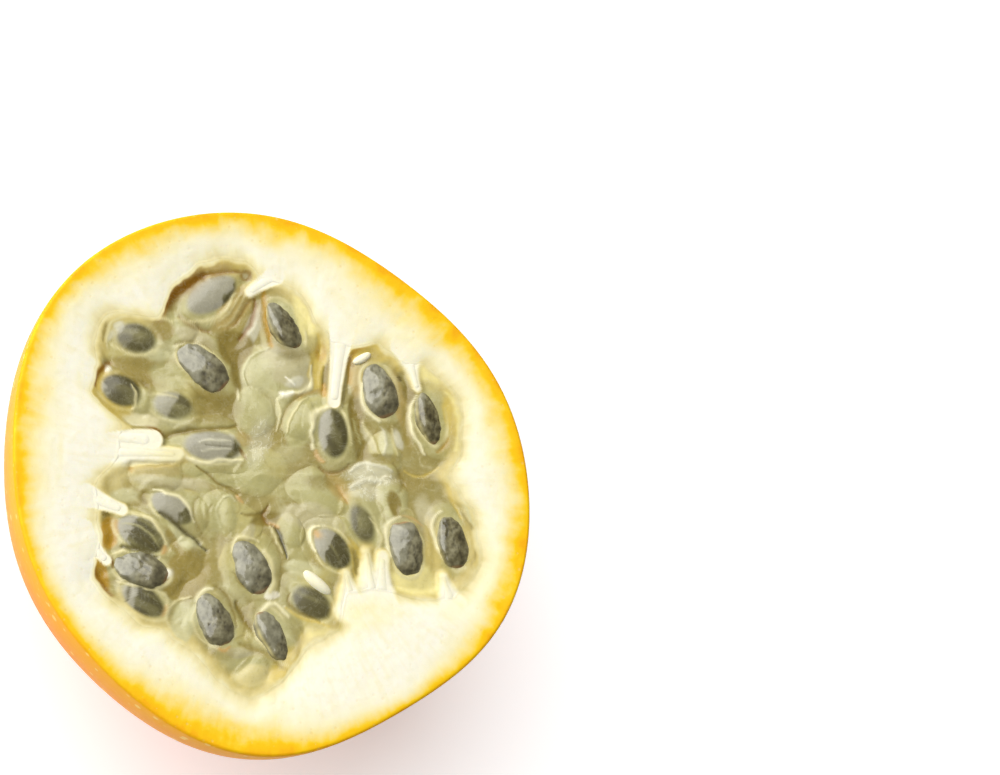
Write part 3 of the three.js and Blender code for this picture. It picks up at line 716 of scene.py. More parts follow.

# Patches of the jelly: x, y, turn, length, width, tint, strength, softness of the border, lift.
# The dark ones that dip lie in gaps and creases: partly the jelly's colour, partly painted shade.
PATCHES = (
    # upper left pocket
    (-8.0, 28.0, 12, 12.5, 2.4, "gold", 0.8, 0.8, 0), (-5.3, 22.7, 52, 7.5, 3.4, "tan", 0.85, 0.4, 0.2),
    (-3.3, 27.2, 0, 1.7, 1.5, "brown", 0.7, 0.4, -0.1), (-3.3, 27.2, 0, 0.8, 0.7, "beige", 0.8, 0.5, 0.05),
    (-2.6, 20.4, 70, 7.2, 1.8, "frost", 0.85, 0.4, 0.25),
    (-3.9, 17.8, 20, 1.5, 1.1, "white", 0.8, 0.5, 0.1),
    (-4.9, 17.5, -60, 5.0, 4.6, "olive", 0.95, 0.3, -0.35),
    (-4.7, 14.4, 78, 5.0, 2.0, "olive", 0.8, 0.5, -0.3),
    (-15.0, 19.4, -5, 3.6, 2.6, "deep", 0.85, 0.4, -0.1),
    (-10.3, 18.5, -18, 5.8, 2.2, "beige", 0.9, 0.35, 0.2),
    # Painted highlights: two glints on the bag over the seed at the left.
    (-20.7, 19.5, 30, 1.7, 1.2, "frost", 0.9, 0.7, 0.1),
    (-21.8, 18.2, 70, 1.5, 0.9, "frost", 0.7, 0.7, 0.05),
    # left pockets
    (-15.2, 16.6, 10, 4.8, 2.6, "pale", 0.7, 0.6, 0.1),
    (-18.3, 13.8, -4, 8.4, 3.4, "deep", 0.9, 0.35, -0.15),
    (-14.2, 13.4, -10, 4.4, 3.2, "gel", 0.8, 0.5, 0.1),
    # Amber in the gap at the wall beside the seed at the left: partly the jelly's colour, partly painted
    # shade.
    (-23.4, 12.4, 72, 4.0, 1.6, "amber", 0.95, 0.4, -0.5),
    (-21.8, 10.4, -20, 6.8, 5.8, "gold", 0.95, 0.25, -0.1),
    (-18.0, 12.1, -10, 2.6, 1.0, "olive", 0.9, 0.5, -0.2),
    (-18.1, 9.9, 80, 3.8, 2.6, "gel", 0.85, 0.3, 0.1), (-8.0, 9.5, -5, 7.4, 4.2, "olive", 0.6, 0.7, -0.15),
    # Painted shadow beside the wide tip of a peg.
    (-16.1, 5.3, -50, 3.4, 1.9, "brown", 0.85, 0.35, -0.6),
    (-18.0, 7.5, -4, 5.0, 1.6, "cream", 0.85, 0.6, 0.2), (-13.2, 7.1, -6, 4.4, 1.4, "pale", 0.6, 0.6, 0.1),
    (-13.6, 4.3, 5, 4.2, 2.6, "gel", 0.8, 0.4, 0), (-6.4, 3.2, 10, 3.4, 1.0, "frost", 0.8, 0.6, 0.05),
    (-5.7, 5.3, -40, 2.0, 1.2, "frost", 0.8, 0.6, 0.05),
    (-4.6, 3.6, -55, 1.8, 0.6, "brown", 0.8, 0.5, -0.1), (-4.3, 5.4, -30, 2.4, 1.8, "tan", 0.7, 0.6, 0),
    (-21.4, 1.6, 85, 8.0, 3.2, "edge", 0.8, 0.8, 0.3), (-16.2, 0.9, 0, 7.0, 2.2, "tan", 0.45, 0.4, 0),
    (-15.2, -0.8, -4, 8.2, 1.7, "beige", 0.7, 0.6, 0.15),
    (-11.0, -0.9, -8, 3.8, 1.6, "beige", 0.7, 0.6, 0.1), (-7.0, 0.4, -6, 11.0, 2.8, "gel", 0.9, 0.4, 0.15),
    (-20.4, -2.7, 10, 4.2, 1.7, "pale", 0.7, 0.6, 0.1),
    # middle
    (2.2, 15.4, -28, 8.2, 5.4, "beige", 0.85, 0.25, 0.3),
    # The frost patch on the next line is a painted highlight on the big pale bag.
    (1.2, 17.3, -20, 4.8, 2.0, "shade", 0.25, 0.7, 0.1), (2.8, 13.4, 22, 3.0, 1.4, "frost", 0.9, 0.6, 0.1),
    (-2.2, 13.9, 60, 5.6, 4.2, "pale", 0.55, 0.4, 0.2), (6.2, 15.2, 86, 6.8, 2.2, "gold", 0.9, 0.5, -0.15),
    (6.7, 17.4, 80, 2.8, 1.4, "amber", 0.6, 0.6, -0.2), (4.9, 11.6, 8, 5.2, 1.7, "tan", 0.9, 0.5, -0.15),
    (4.3, 8.3, 62, 8.2, 4.4, "gel", 0.95, 0.2, 0.35), (-0.4, 9.4, 60, 5.5, 3.6, "pale", 0.4, 0.7, 0.1),
    (-2.2, 5.0, 70, 6.5, 2.8, "fluff", 0.5, 0.8, 0.1), (1.5, 3.5, 20, 5.0, 2.6, "pale", 0.4, 0.8, 0.1),
    (-0.5, -1.0, -10, 8.0, 2.4, "gel", 0.6, 0.7, -0.1),
    # right of the partition
    (4.7, 22.0, -78, 8.4, 2.8, "straw", 0.85, 0.6, 0), (10.2, 7.2, -88, 6.8, 1.5, "gel", 0.8, 0.4, 0.1),
    (11.3, 9.4, -86, 7.0, 2.0, "olive", 0.95, 0.35, -0.3),
    (11.7, 4.6, -80, 4.2, 2.0, "olive", 0.7, 0.6, -0.2), (11.5, 13.8, 85, 4.8, 2.2, "tan", 0.8, 0.4, 0.1),
    (13.4, 17.5, 5, 6.0, 3.0, "gold", 0.8, 0.6, -0.1), (17.3, 11.4, -80, 8.0, 2.1, "tan", 0.9, 0.4, -0.1),
    (18.7, 12.0, -75, 3.6, 1.8, "olive", 0.9, 0.5, -0.25),
    (17.6, 14.2, -60, 0.9, 0.6, "black", 0.9, 0.5, -0.1), (21.5, 14.4, -60, 3.8, 2.5, "straw", 0.8, 0.6, 0),
    (24.4, 9.6, -82, 6.4, 1.9, "gold", 0.9, 0.5, -0.1), (18.4, 7.8, -86, 6.4, 1.6, "deep", 0.9, 0.5, -0.15),
    (13.1, 6.0, -65, 3.6, 1.2, "beige", 0.7, 0.5, 0.1), (15.2, 5.4, -82, 4.2, 1.8, "pale", 0.8, 0.4, 0.15),
    (16.9, 6.1, -70, 2.6, 1.3, "frost", 0.8, 0.6, 0.15), (14.4, 3.4, 0, 6.0, 1.6, "olive", 0.6, 0.6, -0.15),
    # lower left
    (-22.9, -5.1, -10, 1.4, 1.1, "olive", 0.9, 0.5, -0.5),
    (-22.6, -7.6, 74, 4.8, 2.6, "amber", 1.0, 0.35, -0.5),
    (-12.6, -8.4, -50, 6.6, 1.7, "pale", 0.75, 0.35, 0.25),
    (-14.2, -8.7, -62, 4.8, 1.3, "deep", 0.9, 0.5, -0.2),
    (-9.6, -4.6, -80, 6.8, 3.0, "gel", 0.7, 0.3, 0.25), (-6.7, -4.9, -85, 5.4, 2.1, "gel", 0.7, 0.3, 0.25),
    (-1.9, -5.3, 20, 3.8, 1.9, "olive", 0.85, 0.6, -0.3),
    (-13.0, -13.2, 55, 7.2, 5.6, "deep", 1.0, 0.2, -0.35),
    (-10.8, -11.0, -45, 4.2, 2.6, "deep", 0.8, 0.4, -0.2),
    (-24.3, -12.8, 108, 6.0, 2.4, "amber", 0.95, 0.4, -0.6),
    (-12.9, -18.9, 72, 6.2, 3.5, "pale", 0.8, 0.3, 0.3),
    (-3.8, -7.0, 65, 2.4, 1.7, "beige", 0.7, 0.5, 0.15),
    (-1.2, -15.4, 15, 1.8, 1.1, "white", 0.95, 0.4, 0.1),
    (-6.6, -15.4, -30, 4.8, 2.4, "pale", 0.5, 0.6, 0.15),
    # bottom
    (-5.6, -22.8, 5, 4.2, 1.8, "beige", 0.85, 0.35, 0.2), (-4.0, -25.8, 8, 4.8, 2.6, "edge", 0.7, 0.5, 0.1),
    (0.6, -24.2, 42, 6.2, 3.2, "gold", 0.75, 0.6, 0), (0.6, -25.4, -40, 4.8, 2.8, "gold", 0.7, 0.7, -0.1),
    (5.4, -20.2, -50, 7.0, 3.2, "straw", 0.7, 0.8, 0),
    # right
    (4.0, -4.6, -4, 7.8, 3.4, "beige", 0.7, 0.3, 0.25), (2.6, -8.6, -70, 6.2, 3.4, "gel", 0.7, 0.35, 0.2),
    (3.2, -11.6, -10, 4.8, 2.3, "pale", 0.8, 0.5, 0.15),
    (10.8, -10.8, -72, 7.4, 2.0, "gold", 0.9, 0.4, -0.1),
    (10.7, -11.2, -70, 5.4, 1.1, "deep", 0.9, 0.5, -0.1),
    (16.0, -2.7, -82, 4.2, 1.5, "olive", 0.9, 0.4, -0.2),
    (20.4, -4.4, -86, 6.4, 2.7, "beige", 0.8, 0.6, 0.1),
    (18.6, -12.6, -4, 9.4, 4.4, "straw", 0.95, 0.4, -0.1),
    (21.2, -8.6, -84, 8.0, 2.4, "bank", 0.85, 0.6, 0), (26.4, -8.0, -82, 6.6, 1.9, "bank", 0.8, 0.6, 0),
    (13.0, 1.2, -2, 6.6, 2.3, "fluff", 0.9, 0.8, 0.1), (12.2, -1.0, -8, 4.8, 2.3, "fluff", 0.7, 0.8, 0.1),
    (8.4, -0.6, -60, 4.2, 2.6, "tan", 0.8, 0.7, -0.15), (6.0, -0.2, 0, 4.4, 2.2, "olive", 0.5, 0.7, -0.1),
    (18.8, 1.0, 0, 6.5, 3.2, "deep", 0.5, 0.7, -0.1),
)

# Folds and torn edges of the bags: start, middle and end x and y, width, lift, tint, strength.
# The dark ones that dip are partly the jelly's colour, partly painted shade.
FOLDS = (
    # upper left pocket
    (-14.2, 23.6, -10.6, 27.2, -6.0, 28.5, 1.9, -0.1, "tan", 0.8),
    # These two brown folds along the wall are partly painted shadow of the wall, partly darker jelly.
    (-15.2, 21.1, -12.8, 24.6, -9.0, 26.9, 1.7, -0.4, "brown", 0.95),
    (-9.0, 26.9, -6.6, 27.7, -4.2, 27.7, 0.7, -0.3, "brown", 0.65),
    (-10.9, 20.7, -7.6, 21.3, -5.0, 24.6, 0.5, 0.1, "outline", 0.7),
    (-8.6, 20.3, -6.4, 21.6, -4.2, 24.6, 0.3, 0.08, "outline", 0.5),
    (-7.2, 19.8, -5.2, 21.6, -3.5, 24.8, 0.3, 0.08, "outline", 0.4),
    (-5.8, 20.0, -4.2, 21.8, -3.0, 24.6, 0.3, -0.1, "brown", 0.4),
    (-2.5, 24.6, -2.6, 21.6, -4.2, 18.8, 0.6, -0.25, "brown", 0.75),
    (-0.8, 25.9, -0.9, 21.5, -0.4, 17.7, 0.9, -0.1, "amber", 0.8),
    (-1.6, 26.1, -0.6, 26.6, 0.6, 26.4, 0.6, -0.2, "amber", 0.6),
    (-12.5, 21.2, -10.5, 20.0, -8.3, 19.4, 0.6, -0.2, "brown", 0.55),
    # left pockets
    (-22.1, 16.6, -21.9, 19.6, -19.4, 20.9, 0.4, 0.12, "outline", 0.7),
    (-19.4, 20.9, -16.4, 21.1, -13.6, 20.5, 0.45, 0.12, "outline", 0.65),
    (-22.9, 17.5, -21.9, 20.8, -20.0, 21.6, 0.4, -0.15, "olive", 0.6),
    (-21.5, 16.9, -18.5, 15.6, -16.2, 16.6, 0.4, 0.12, "outline", 0.65),
    (-13.5, 20.6, -11.6, 20.7, -9.6, 19.4, 0.35, 0.1, "outline", 0.5),
    (-12.9, 17.3, -12.2, 14.4, -7.4, 11.6, 0.4, 0.12, "outline", 0.75),
    (-12.6, 17.5, -9.2, 17.2, -6.3, 14.6, 0.25, 0.08, "outline", 0.4),
    (-13.3, 17.6, -11.2, 17.9, -8.0, 17.0, 0.3, -0.15, "olive", 0.6),
    (-19.4, 11.8, -18.9, 10.2, -19.4, 8.4, 0.35, 0.15, "outline", 0.7),
    # Brown gap at the wall: partly the jelly's colour, partly painted shade.
    (-23.9, 11.4, -23.4, 13.5, -21.9, 14.5, 0.6, -0.3, "brown", 0.85),
    # Painted highlight: a glint at the wall.
    (-22.7, 13.4, -22.3, 13.7, -21.9, 13.9, 0.45, 0.1, "white", 0.95),
    (-16.8, 10.8, -15.3, 10.9, -13.4, 10.4, 0.3, 0.08, "outline", 0.5),
    (-19.9, 4.9, -18.6, 6.4, -16.6, 5.7, 0.4, -0.1, "olive", 0.8),
    (-15.9, 4.7, -12.0, 6.0, -5.0, 6.9, 0.5, -0.3, "olive", 0.95),
    (-12.6, 3.7, -10.2, 2.2, -4.7, 2.7, 0.6, 0.15, "cream", 0.8),
    (-10.5, 4.6, -8.4, 5.0, -6.3, 5.2, 0.3, 0.05, "frost", 0.6),
    (-10.0, 3.6, -8.0, 3.8, -6.4, 4.0, 0.25, 0.04, "frost", 0.5),
    (-9.6, 4.2, -7.6, 4.3, -5.6, 4.4, 0.2, -0.05, "shade", 0.5),
    # These two are painted shadow along the side of the flat peg, partly a fold of the jelly.
    (-19.5, 1.9, -16.8, 1.7, -13.8, 2.0, 0.45, -0.3, "olive", 0.9),
    (-19.4, 1.8, -19.3, 1.2, -19.3, 0.5, 0.5, -0.2, "amber", 0.6),
    (-10.6, 1.6, -8.8, 0.0, -5.0, -2.1, 0.4, -0.2, "olive", 0.75),
    # middle
    (5.4, 15.4, 4.8, 12.8, 1.2, 11.6, 0.5, 0.15, "cream", 0.8),
    (0.8, 11.7, 1.5, 11.6, 2.3, 11.9, 0.6, 0.1, "white", 0.95),
    # Painted highlight: a white line in the glint on the big pale bag.
    (1.3, 14.1, 1.9, 13.5, 2.7, 12.9, 0.25, 0.08, "white", 0.85),
    (-3.6, 12.8, -3.4, 15.6, -0.6, 17.6, 0.35, 0.12, "pale", 0.7),
    (-5.0, 12.0, -4.9, 11.3, -4.8, 10.6, 0.45, 0.1, "cream", 0.6),
    (7.8, 16.4, 7.6, 14.8, 7.1, 12.4, 0.6, -0.3, "olive", 0.95),
    (7.2, 13.2, 6.9, 12.4, 6.8, 11.6, 0.5, -0.2, "amber", 0.85),
    (6.5, 19.8, 6.9, 18.4, 6.6, 17.0, 0.5, -0.15, "gold", 0.7),
    (4.6, 11.2, 2.6, 9.4, 2.0, 6.6, 0.35, 0.1, "outline", 0.6),
    (3.2, 11.2, 1.6, 9.8, 1.2, 7.6, 0.6, -0.15, "deep", 0.6),
    (0.4, 11.0, 0.9, 9.0, 0.4, 6.6, 0.35, 0.1, "outline", 0.4),
    (8.3, 10.5, 5.4, 8.6, 5.3, 4.4, 0.55, 0.15, "cream", 0.85),
    (5.6, 4.2, 5.9, 3.2, 6.6, 2.6, 0.6, 0.05, "rose", 0.8),
    (9.2, 10.2, 10.2, 8.0, 10.4, 5.0, 0.35, 0.1, "outline", 0.55),
    (11.0, 8.6, 11.4, 6.8, 11.6, 5.2, 0.3, 0.08, "gel", 0.7),
    # right of the partition
    (12.2, 13.4, 12.2, 10.4, 14.4, 8.4, 0.5, 0.15, "cream", 0.9),
    (10.4, 13.4, 10.9, 17.2, 13.2, 18.6, 0.8, -0.2, "amber", 0.65),
    (13.2, 18.6, 15.4, 18.0, 17.4, 15.4, 0.8, -0.1, "gold", 0.6),
    (10.6, 16.9, 11.0, 16.5, 11.3, 15.9, 0.6, -0.2, "brown", 0.6),
    (15.4, 15.9, 17.0, 14.0, 17.2, 10.4, 0.3, 0.08, "outline", 0.5),
    (12.3, 8.2, 13.4, 6.2, 14.2, 4.2, 0.35, 0.1, "outline", 0.6),
    (14.6, 7.8, 15.2, 6.0, 14.8, 4.0, 0.3, 0.1, "frost", 0.6),
    (16.2, 7.6, 16.2, 5.8, 16.8, 4.0, 0.3, 0.1, "outline", 0.6),
    (19.7, 12.4, 18.8, 8.6, 20.8, 4.3, 0.5, 0.15, "cream", 0.85),
    (23.6, 12.6, 25.4, 10.0, 25.0, 5.0, 0.6, 0.05, "straw", 0.6),
    (23.9, 6.4, 23.6, 5.4, 22.6, 4.8, 0.5, -0.1, "amber", 0.55),
    # lower left
    (-16.8, -2.1, -13.0, -2.8, -11.2, -5.8, 0.45, 0.15, "cream", 0.8),
    (-16.0, -4.6, -13.4, -6.4, -9.6, -9.8, 0.6, -0.3, "dark", 0.85),
    (-17.9, -2.3, -18.1, -3.0, -17.7, -3.6, 0.6, -0.1, "olive", 0.7),
    (-20.4, -4.9, -17.2, -5.8, -15.0, -9.2, 0.5, 0.15, "outline", 0.85),
    (-15.2, -9.4, -15.3, -9.8, -15.6, -10.2, 0.6, 0.05, "rose", 0.9),
    (-21.0, -6.6, -18.6, -6.8, -16.0, -9.4, 0.3, 0.06, "gel", 0.5),
    (-20.8, -7.6, -18.8, -7.9, -16.4, -9.9, 0.25, -0.06, "dark", 0.65),
    (-21.0, -9.3, -18.4, -9.9, -16.3, -10.7, 0.6, -0.25, "dark", 0.75),
    (-22.6, -10.8, -21.6, -10.1, -20.2, -10.1, 0.4, 0.1, "outline", 0.8),
    (-22.9, -11.3, -22.5, -11.4, -22.2, -12.2, 0.5, -0.2, "brown", 0.85),
    (-21.6, -14.2, -19.0, -14.6, -15.9, -14.1, 0.4, 0.1, "outline", 0.7),
    # Painted highlight: a glint at the end of a seed.
    (-15.3, -12.4, -15.0, -12.9, -15.3, -13.4, 0.7, 0.1, "white", 0.95),
    (-25.0, -10.8, -24.7, -13.4, -22.6, -16.0, 0.6, -0.4, "brown", 0.65),
    (-20.1, -14.9, -20.2, -15.6, -20.9, -16.6, 0.4, -0.15, "dark", 0.75),
    (-18.2, -14.9, -15.8, -15.6, -15.4, -18.2, 0.4, 0.1, "outline", 0.75),
    (-15.6, -17.2, -15.6, -17.8, -15.9, -18.4, 0.5, 0.05, "rose", 0.6),
    (-7.4, -2.4, -8.2, -4.6, -7.4, -7.2, 0.3, 0.06, "pale", 0.5),
    (-7.4, -2.6, -6.4, -2.3, -5.6, -3.0, 0.35, 0.1, "pale", 0.7),
    (-5.4, -2.2, -5.0, -2.6, -4.6, -3.2, 0.4, 0.05, "rose", 0.8),
    (-10.9, -2.6, -11.2, -4.8, -10.2, -7.6, 0.5, -0.06, "olive", 0.4),
    (-9.0, -3.4, -9.4, -5.4, -9.0, -7.4, 0.4, -0.05, "olive", 0.3),
    (-4.9, -4.4, -3.2, -4.8, -1.2, -4.2, 0.4, -0.15, "olive", 0.7),
    (-1.2, -3.6, -1.8, -5.0, -1.0, -6.2, 0.5, -0.2, "brown", 0.5),
    # round the lower seeds
    (-6.4, -9.4, -5.2, -7.6, -2.6, -8.4, 0.45, 0.12, "outline", 0.85),
    (-2.0, -9.4, -1.0, -12.2, -1.4, -15.0, 0.7, 0.12, "outline", 0.85),
    (-6.4, -12.4, -5.4, -13.8, -3.6, -15.2, 0.35, -0.1, "olive", 0.7),
    (-1.0, -6.0, 0.2, -7.6, 1.0, -10.0, 0.45, -0.2, "shade", 0.9),
    (-1.2, -6.2, -0.5, -7.6, 0.3, -9.4, 0.3, 0.1, "outline", 0.65),
    (-1.2, -5.7, -0.7, -6.0, -0.2, -6.3, 0.4, 0.1, "rose", 0.85),
    (-11.4, -16.4, -10.8, -15.1, -9.4, -14.8, 0.5, 0.1, "cream", 0.9),
    (-8.8, -22.3, -8.0, -22.5, -7.3, -22.0, 0.5, 0.05, "rose", 0.95),
    (-11.2, -16.6, -11.7, -19.4, -9.8, -22.2, 0.3, 0.08, "outline", 0.5),
    (-12.2, -15.6, -15.2, -18.0, -13.8, -21.6, 0.35, 0.1, "outline", 0.6),
    (-8.8, -14.4, -7.0, -16.2, -6.2, -19.6, 0.4, -0.12, "olive", 0.6),
    (-6.0, -16.4, -4.8, -18.6, -2.8, -20.6, 1.0, -0.35, "olive", 0.9),
    (-2.8, -18.0, -1.0, -16.5, 0.9, -18.0, 0.55, 0.12, "cream", 0.85),
    (-3.6, -19.4, -2.4, -22.0, 0.8, -24.2, 0.4, 0.12, "outline", 0.85),
    (-5.6, -21.4, -3.0, -22.6, 0.8, -25.0, 0.7, -0.15, "deep", 0.7),
    (1.2, -15.0, 1.6, -16.8, 5.4, -18.8, 0.4, -0.1, "olive", 0.75),
    (0.8, -17.0, 3.4, -18.4, 6.6, -19.2, 0.4, 0.08, "gold", 0.8),
    # right
    (5.6, -5.9, 4.4, -7.0, 5.2, -9.4, 0.5, 0.15, "cream", 0.9),
    (5.2, -6.8, 5.3, -7.2, 5.4, -7.6, 0.8, 0.05, "rose", 0.85),
    (5.2, -9.4, 6.4, -11.6, 8.8, -12.4, 0.3, 0.1, "outline", 0.55),
    (12.6, -4.4, 13.8, -7.0, 13.2, -9.0, 0.3, 0.08, "outline", 0.5),
    (9.4, -2.6, 8.9, -1.6, 8.6, -0.4, 0.7, -0.1, "rose", 0.55),
    (15.2, -9.6, 14.6, -6.2, 17.0, -4.6, 0.5, 0.15, "cream", 0.9),
    (17.0, -4.6, 18.4, -4.4, 19.8, -5.4, 0.35, 0.1, "rose", 0.5),
    (22.6, -3.4, 21.4, -6.4, 23.6, -10.8, 0.5, 0.12, "cream", 0.8),
    (23.6, -10.8, 24.6, -11.6, 25.6, -11.0, 0.45, 0.1, "outline", 0.7),
    (23.3, 0.2, 24.0, -2.0, 25.4, -4.2, 0.5, -0.1, "gold", 0.7),
    (24.4, 0.6, 25.8, -2.4, 27.2, -5.0, 0.6, 0.1, "pale", 0.6),
    (25.6, -3.6, 27.2, -6.8, 26.2, -10.8, 0.35, -0.1, "olive", 0.5),
    (10.2, 1.6, 12.6, 2.4, 15.8, 2.0, 0.6, 0.12, "frost", 0.7),
    (10.2, -0.6, 12.2, 0.2, 14.4, 0.6, 0.6, 0.12, "frost", 0.6),
    (6.0, 1.8, 8.0, 1.2, 10.0, 2.6, 0.5, -0.15, "brown", 0.4),
    (16.2, 3.0, 17.2, 1.0, 16.6, -1.0, 0.5, -0.1, "olive", 0.55),
    (17.8, 2.2, 20.2, 1.4, 22.6, 2.4, 0.4, -0.1, "gold", 0.55),
)

# Fine threads all over the jelly: size of their loops, seed, width, tint, strength.
THREADS = (
    (2.6, 53, 0.07, "pale", 0.5), (1.5, 54, 0.09, "pale", 0.3), (3.2, 58, 0.05, "olive", 0.4),
    (2.0, 59, 0.06, "cream", 0.3),
)

# The bank of yellower jelly along the wall: tint, strength, where it is full in widths, width.
BANK_TINTS = (("bank", 0.85, 1.4, 1.7), ("edge", 0.9, 1.0, 1.2))

# Colours in which the jelly thins out over the pith: tint, how far past the edge it starts, how softly.
EDGE_TINTS = (("edge", -0.45, 0.45), ("cream", -0.2, 1.0), ("white", 0.8, 1.6))

seed_x, seed_y, seed_turn, seed_length, seed_roll, SEED_DEPTH, SEED_FILM_AND_SHEEN = np.array(SEEDS, float).T
seed_roll = np.radians(seed_roll)
seed_reach = np.hypot(SEED_WIDTH * np.cos(seed_roll), SEED_THICKNESS * np.sin(seed_roll))
SEED_OVALS = np.stack((seed_x, seed_y, seed_turn, seed_length, seed_reach), -1)
seed_bags = SEED_OVALS + (0, 0, 0, 2 * BAG_MARGIN, 0)
seed_bags[:, 4] = SEED_WIDTH + 2 * BAG_MARGIN
BAGS = np.concatenate((seed_bags, EMPTY_BAGS))


def plain(tint, shape):
    """An array of one tint."""
    return np.broadcast_to(TINTS[tint], (*shape, 3))


def lay(under, over, share):
    """One colour array or tint laid over a colour array by a share from 0 to 1."""
    over = TINTS[over] if isinstance(over, str) else over
    return mix(under, over, np.clip(share, 0.0, 1.0)[..., None])


def bell(t):
    """A bell curve, 1 in its middle: e to the power of minus t squared."""
    return np.exp(-(t**2))


def picked(values, which):
    """For each point, the one of its values that which counts to."""
    return np.take_along_axis(values, which[..., None], -1)[..., 0]


def bent(x, y, bends):
    """Points pushed along x and y by layers of noise."""
    return x + waver(x, y, bends[0]), y + waver(x, y, bends[1])


def fold_share(x, y, points, width):
    """1 on a fold's curve, falling to 0 over its width, and thinner towards its ends.

    The curve is the parabola through its start, middle and end, taken as short straight steps.
    """
    start, middle, end = np.array(points).reshape(3, 2)
    t = np.linspace(0.0, 1.0, FOLD_STEPS + 1)[:, None]
    curve = (1 - t) ** 2 * start + 2 * t * (1 - t) * (2 * middle - (start + end) / 2) + t**2 * end
    nearest = np.full(x.shape, FAR)
    for k, (a, b) in enumerate(zip(curve[:-1], curve[1:])):
        thick = mix(FOLD_ENDS, 1.0, math.sin(math.pi * (k + 0.5) / FOLD_STEPS))
        nearest = np.minimum(nearest, off_line(x, y, a, b)[0] / thick)
    return bell(1.6 * nearest / width)


def film_and_sheen_share(x, y, z, middle_x, middle_y, film):
    """1 where a torn film, partly painted sheen, lies over a seed and 0 where it is gone, with a ragged
    border between.
    """
    side = (x - middle_x) * math.cos(FILM_AND_SHEEN_SIDE) + (y - middle_y) * math.sin(FILM_AND_SHEEN_SIDE)
    ragged = side / (SEED_WIDTH / 2.0) + waver(x, y, FILM_AND_SHEEN_RAGGED, z)
    return ease((ragged + FILM_AND_SHEEN_REACH * (film - 0.5)) / FILM_AND_SHEEN_BORDER)


def bag_top(x, y):
    """Height, colour and streaks of the bags by themselves.

    The height is the smooth maximum of half ellipsoids, one for each bag, over a level bed. The
    colour goes from deep in the creases to pale on the crests: partly the jelly's own colour, thicker
    in the creases, and partly painted shade in the creases and painted light on the crests. Streaks
    run along each bag, and threads follow the lines where a noise crosses nought.
    """
    warp_x, warp_y = bent(x, y, BAG_BENDS)
    along, across = local(warp_x, warp_y, BAGS)
    domes = BAG_RISE * np.clip(1.0 - along**2 - across**2, 0.0, 1.0) ** 0.6
    which = np.argmax(domes, -1)
    second, top = np.moveaxis(np.sort(domes, -1)[..., -2:], -1, 0)
    crease = top - second
    height = PULP_LEVEL + top + 0.3 * np.clip(1.0 - crease / BAG_BLEND, 0.0, 1.0) ** 2
    bag_along = picked(along, which) * BAGS[which, 3] / 2.0
    bag_across = picked(across, which) * BAGS[which, 4] / 2.0
    streak = noise(0.25 * bag_along, bag_across, 3.7 * which, cell=0.6, seed=46)

    # Painted shade and light, partly the jelly's own colour: deep low in the creases, paler on the crests.
    colour = lay(plain("deep", x.shape), "gel", 0.5 + 0.7 * top / BAG_RISE)
    paler = 0.15 * ease(crease / BAG_BLEND) + 0.15 * streak + 0.25 * noise(x, y, 0.0, cell=4.0, seed=47)
    colour = lay(colour, "pale", paler)
    colour = lay(colour, "gold", 0.35 * noise(x, y, 0.0, cell=5.0, seed=50))
    # Painted shade along the creases where two bags meet.
    colour = lay(colour, "olive", 0.4 * np.clip(1.0 - crease / 0.12, 0.0, 1.0))
    for cell, seed, width, tint, strength in THREADS:
        line = bell(noise(warp_x, warp_y, 0.0, cell, seed) / width)
        line = line * ease(0.3 + 0.9 * noise(x, y, 0.0, 3.0, seed + 10))
        colour = lay(colour, tint, strength * line)
        height = height + 0.02 * strength * line
    colour = lay(colour, "olive", 0.4 * ease(noise(warp_x, warp_y, 5.0, cell=2.2, seed=55) - 0.1))
    return height + 0.02 * streak, colour, streak


def round_seeds(x, y, height, colour, streak):
    """Height and colour of the jelly over and round the seeds.

    Distances from a seed's middle count in halves of its own length and width. Over a veiled seed
    the jelly swells as a low parabola and shows its shadow, part of it under a grey film that is
    partly painted sheen. Round a bare one it forms a collar. A darker halo, partly the jelly's colour
    and partly painted contact shade, and a broken pale rim run round each.
    """
    outs = np.hypot(*local(x, y, SEED_OVALS))
    near = outs.argmin(-1)
    out, deep = picked(outs, near), SEED_DEPTH[near]
    under = deep >= VEILED
    crown = VEILED_TOP - 0.4 * deep - 0.3 * np.minimum(out, 1.2) ** 2
    height = np.where(under, mix(height, crown, ease((1.25 - out) / 0.6)), height)
    height = mix(height, np.maximum(height, COLLAR), np.where(under, 0.0, ease((1.9 - out) / 0.9)))
    # The darker halo round each seed: partly the jelly's colour, partly painted contact shade.
    halo = bell((out - 1.3) / 0.3) * ease(0.5 + 1.2 * noise(x, y, 0.0, cell=2.6, seed=64))
    colour = lay(colour, "olive", 0.45 * halo * (1.0 - 0.5 * deep))
    soft = 0.2 + 0.6 * np.clip(deep - VEILED, 0.0, 1.0)
    shadow = np.where(under, 1.2 - 0.4 * deep, 0.0) * ease((1.03 - out) / soft)
    shade = lay(plain("shade", x.shape), "gel", 0.05 + 0.35 * streak)
    # Grey film over veiled seeds on the side towards the light: partly the bag's film, partly painted
    # sheen.
    veil_film_and_sheen = film_and_sheen_share(x, y, 0.0, SEED_OVALS[near, 0], SEED_OVALS[near, 1], SEED_FILM_AND_SHEEN[near])
    colour = lay(colour, lay(shade, "lilac", 0.9 * veil_film_and_sheen), shadow)
    rim = bell((out - 1.08 - 0.05 * noise(x, y, 0.0, cell=1.5, seed=48)) / 0.08)
    rim = rim * ease(0.35 + 1.2 * noise(x, y, 0.0, cell=2.4, seed=49))
    return height + 0.05 * rim, lay(colour, "outline", rim * (0.9 - 0.8 * deep))


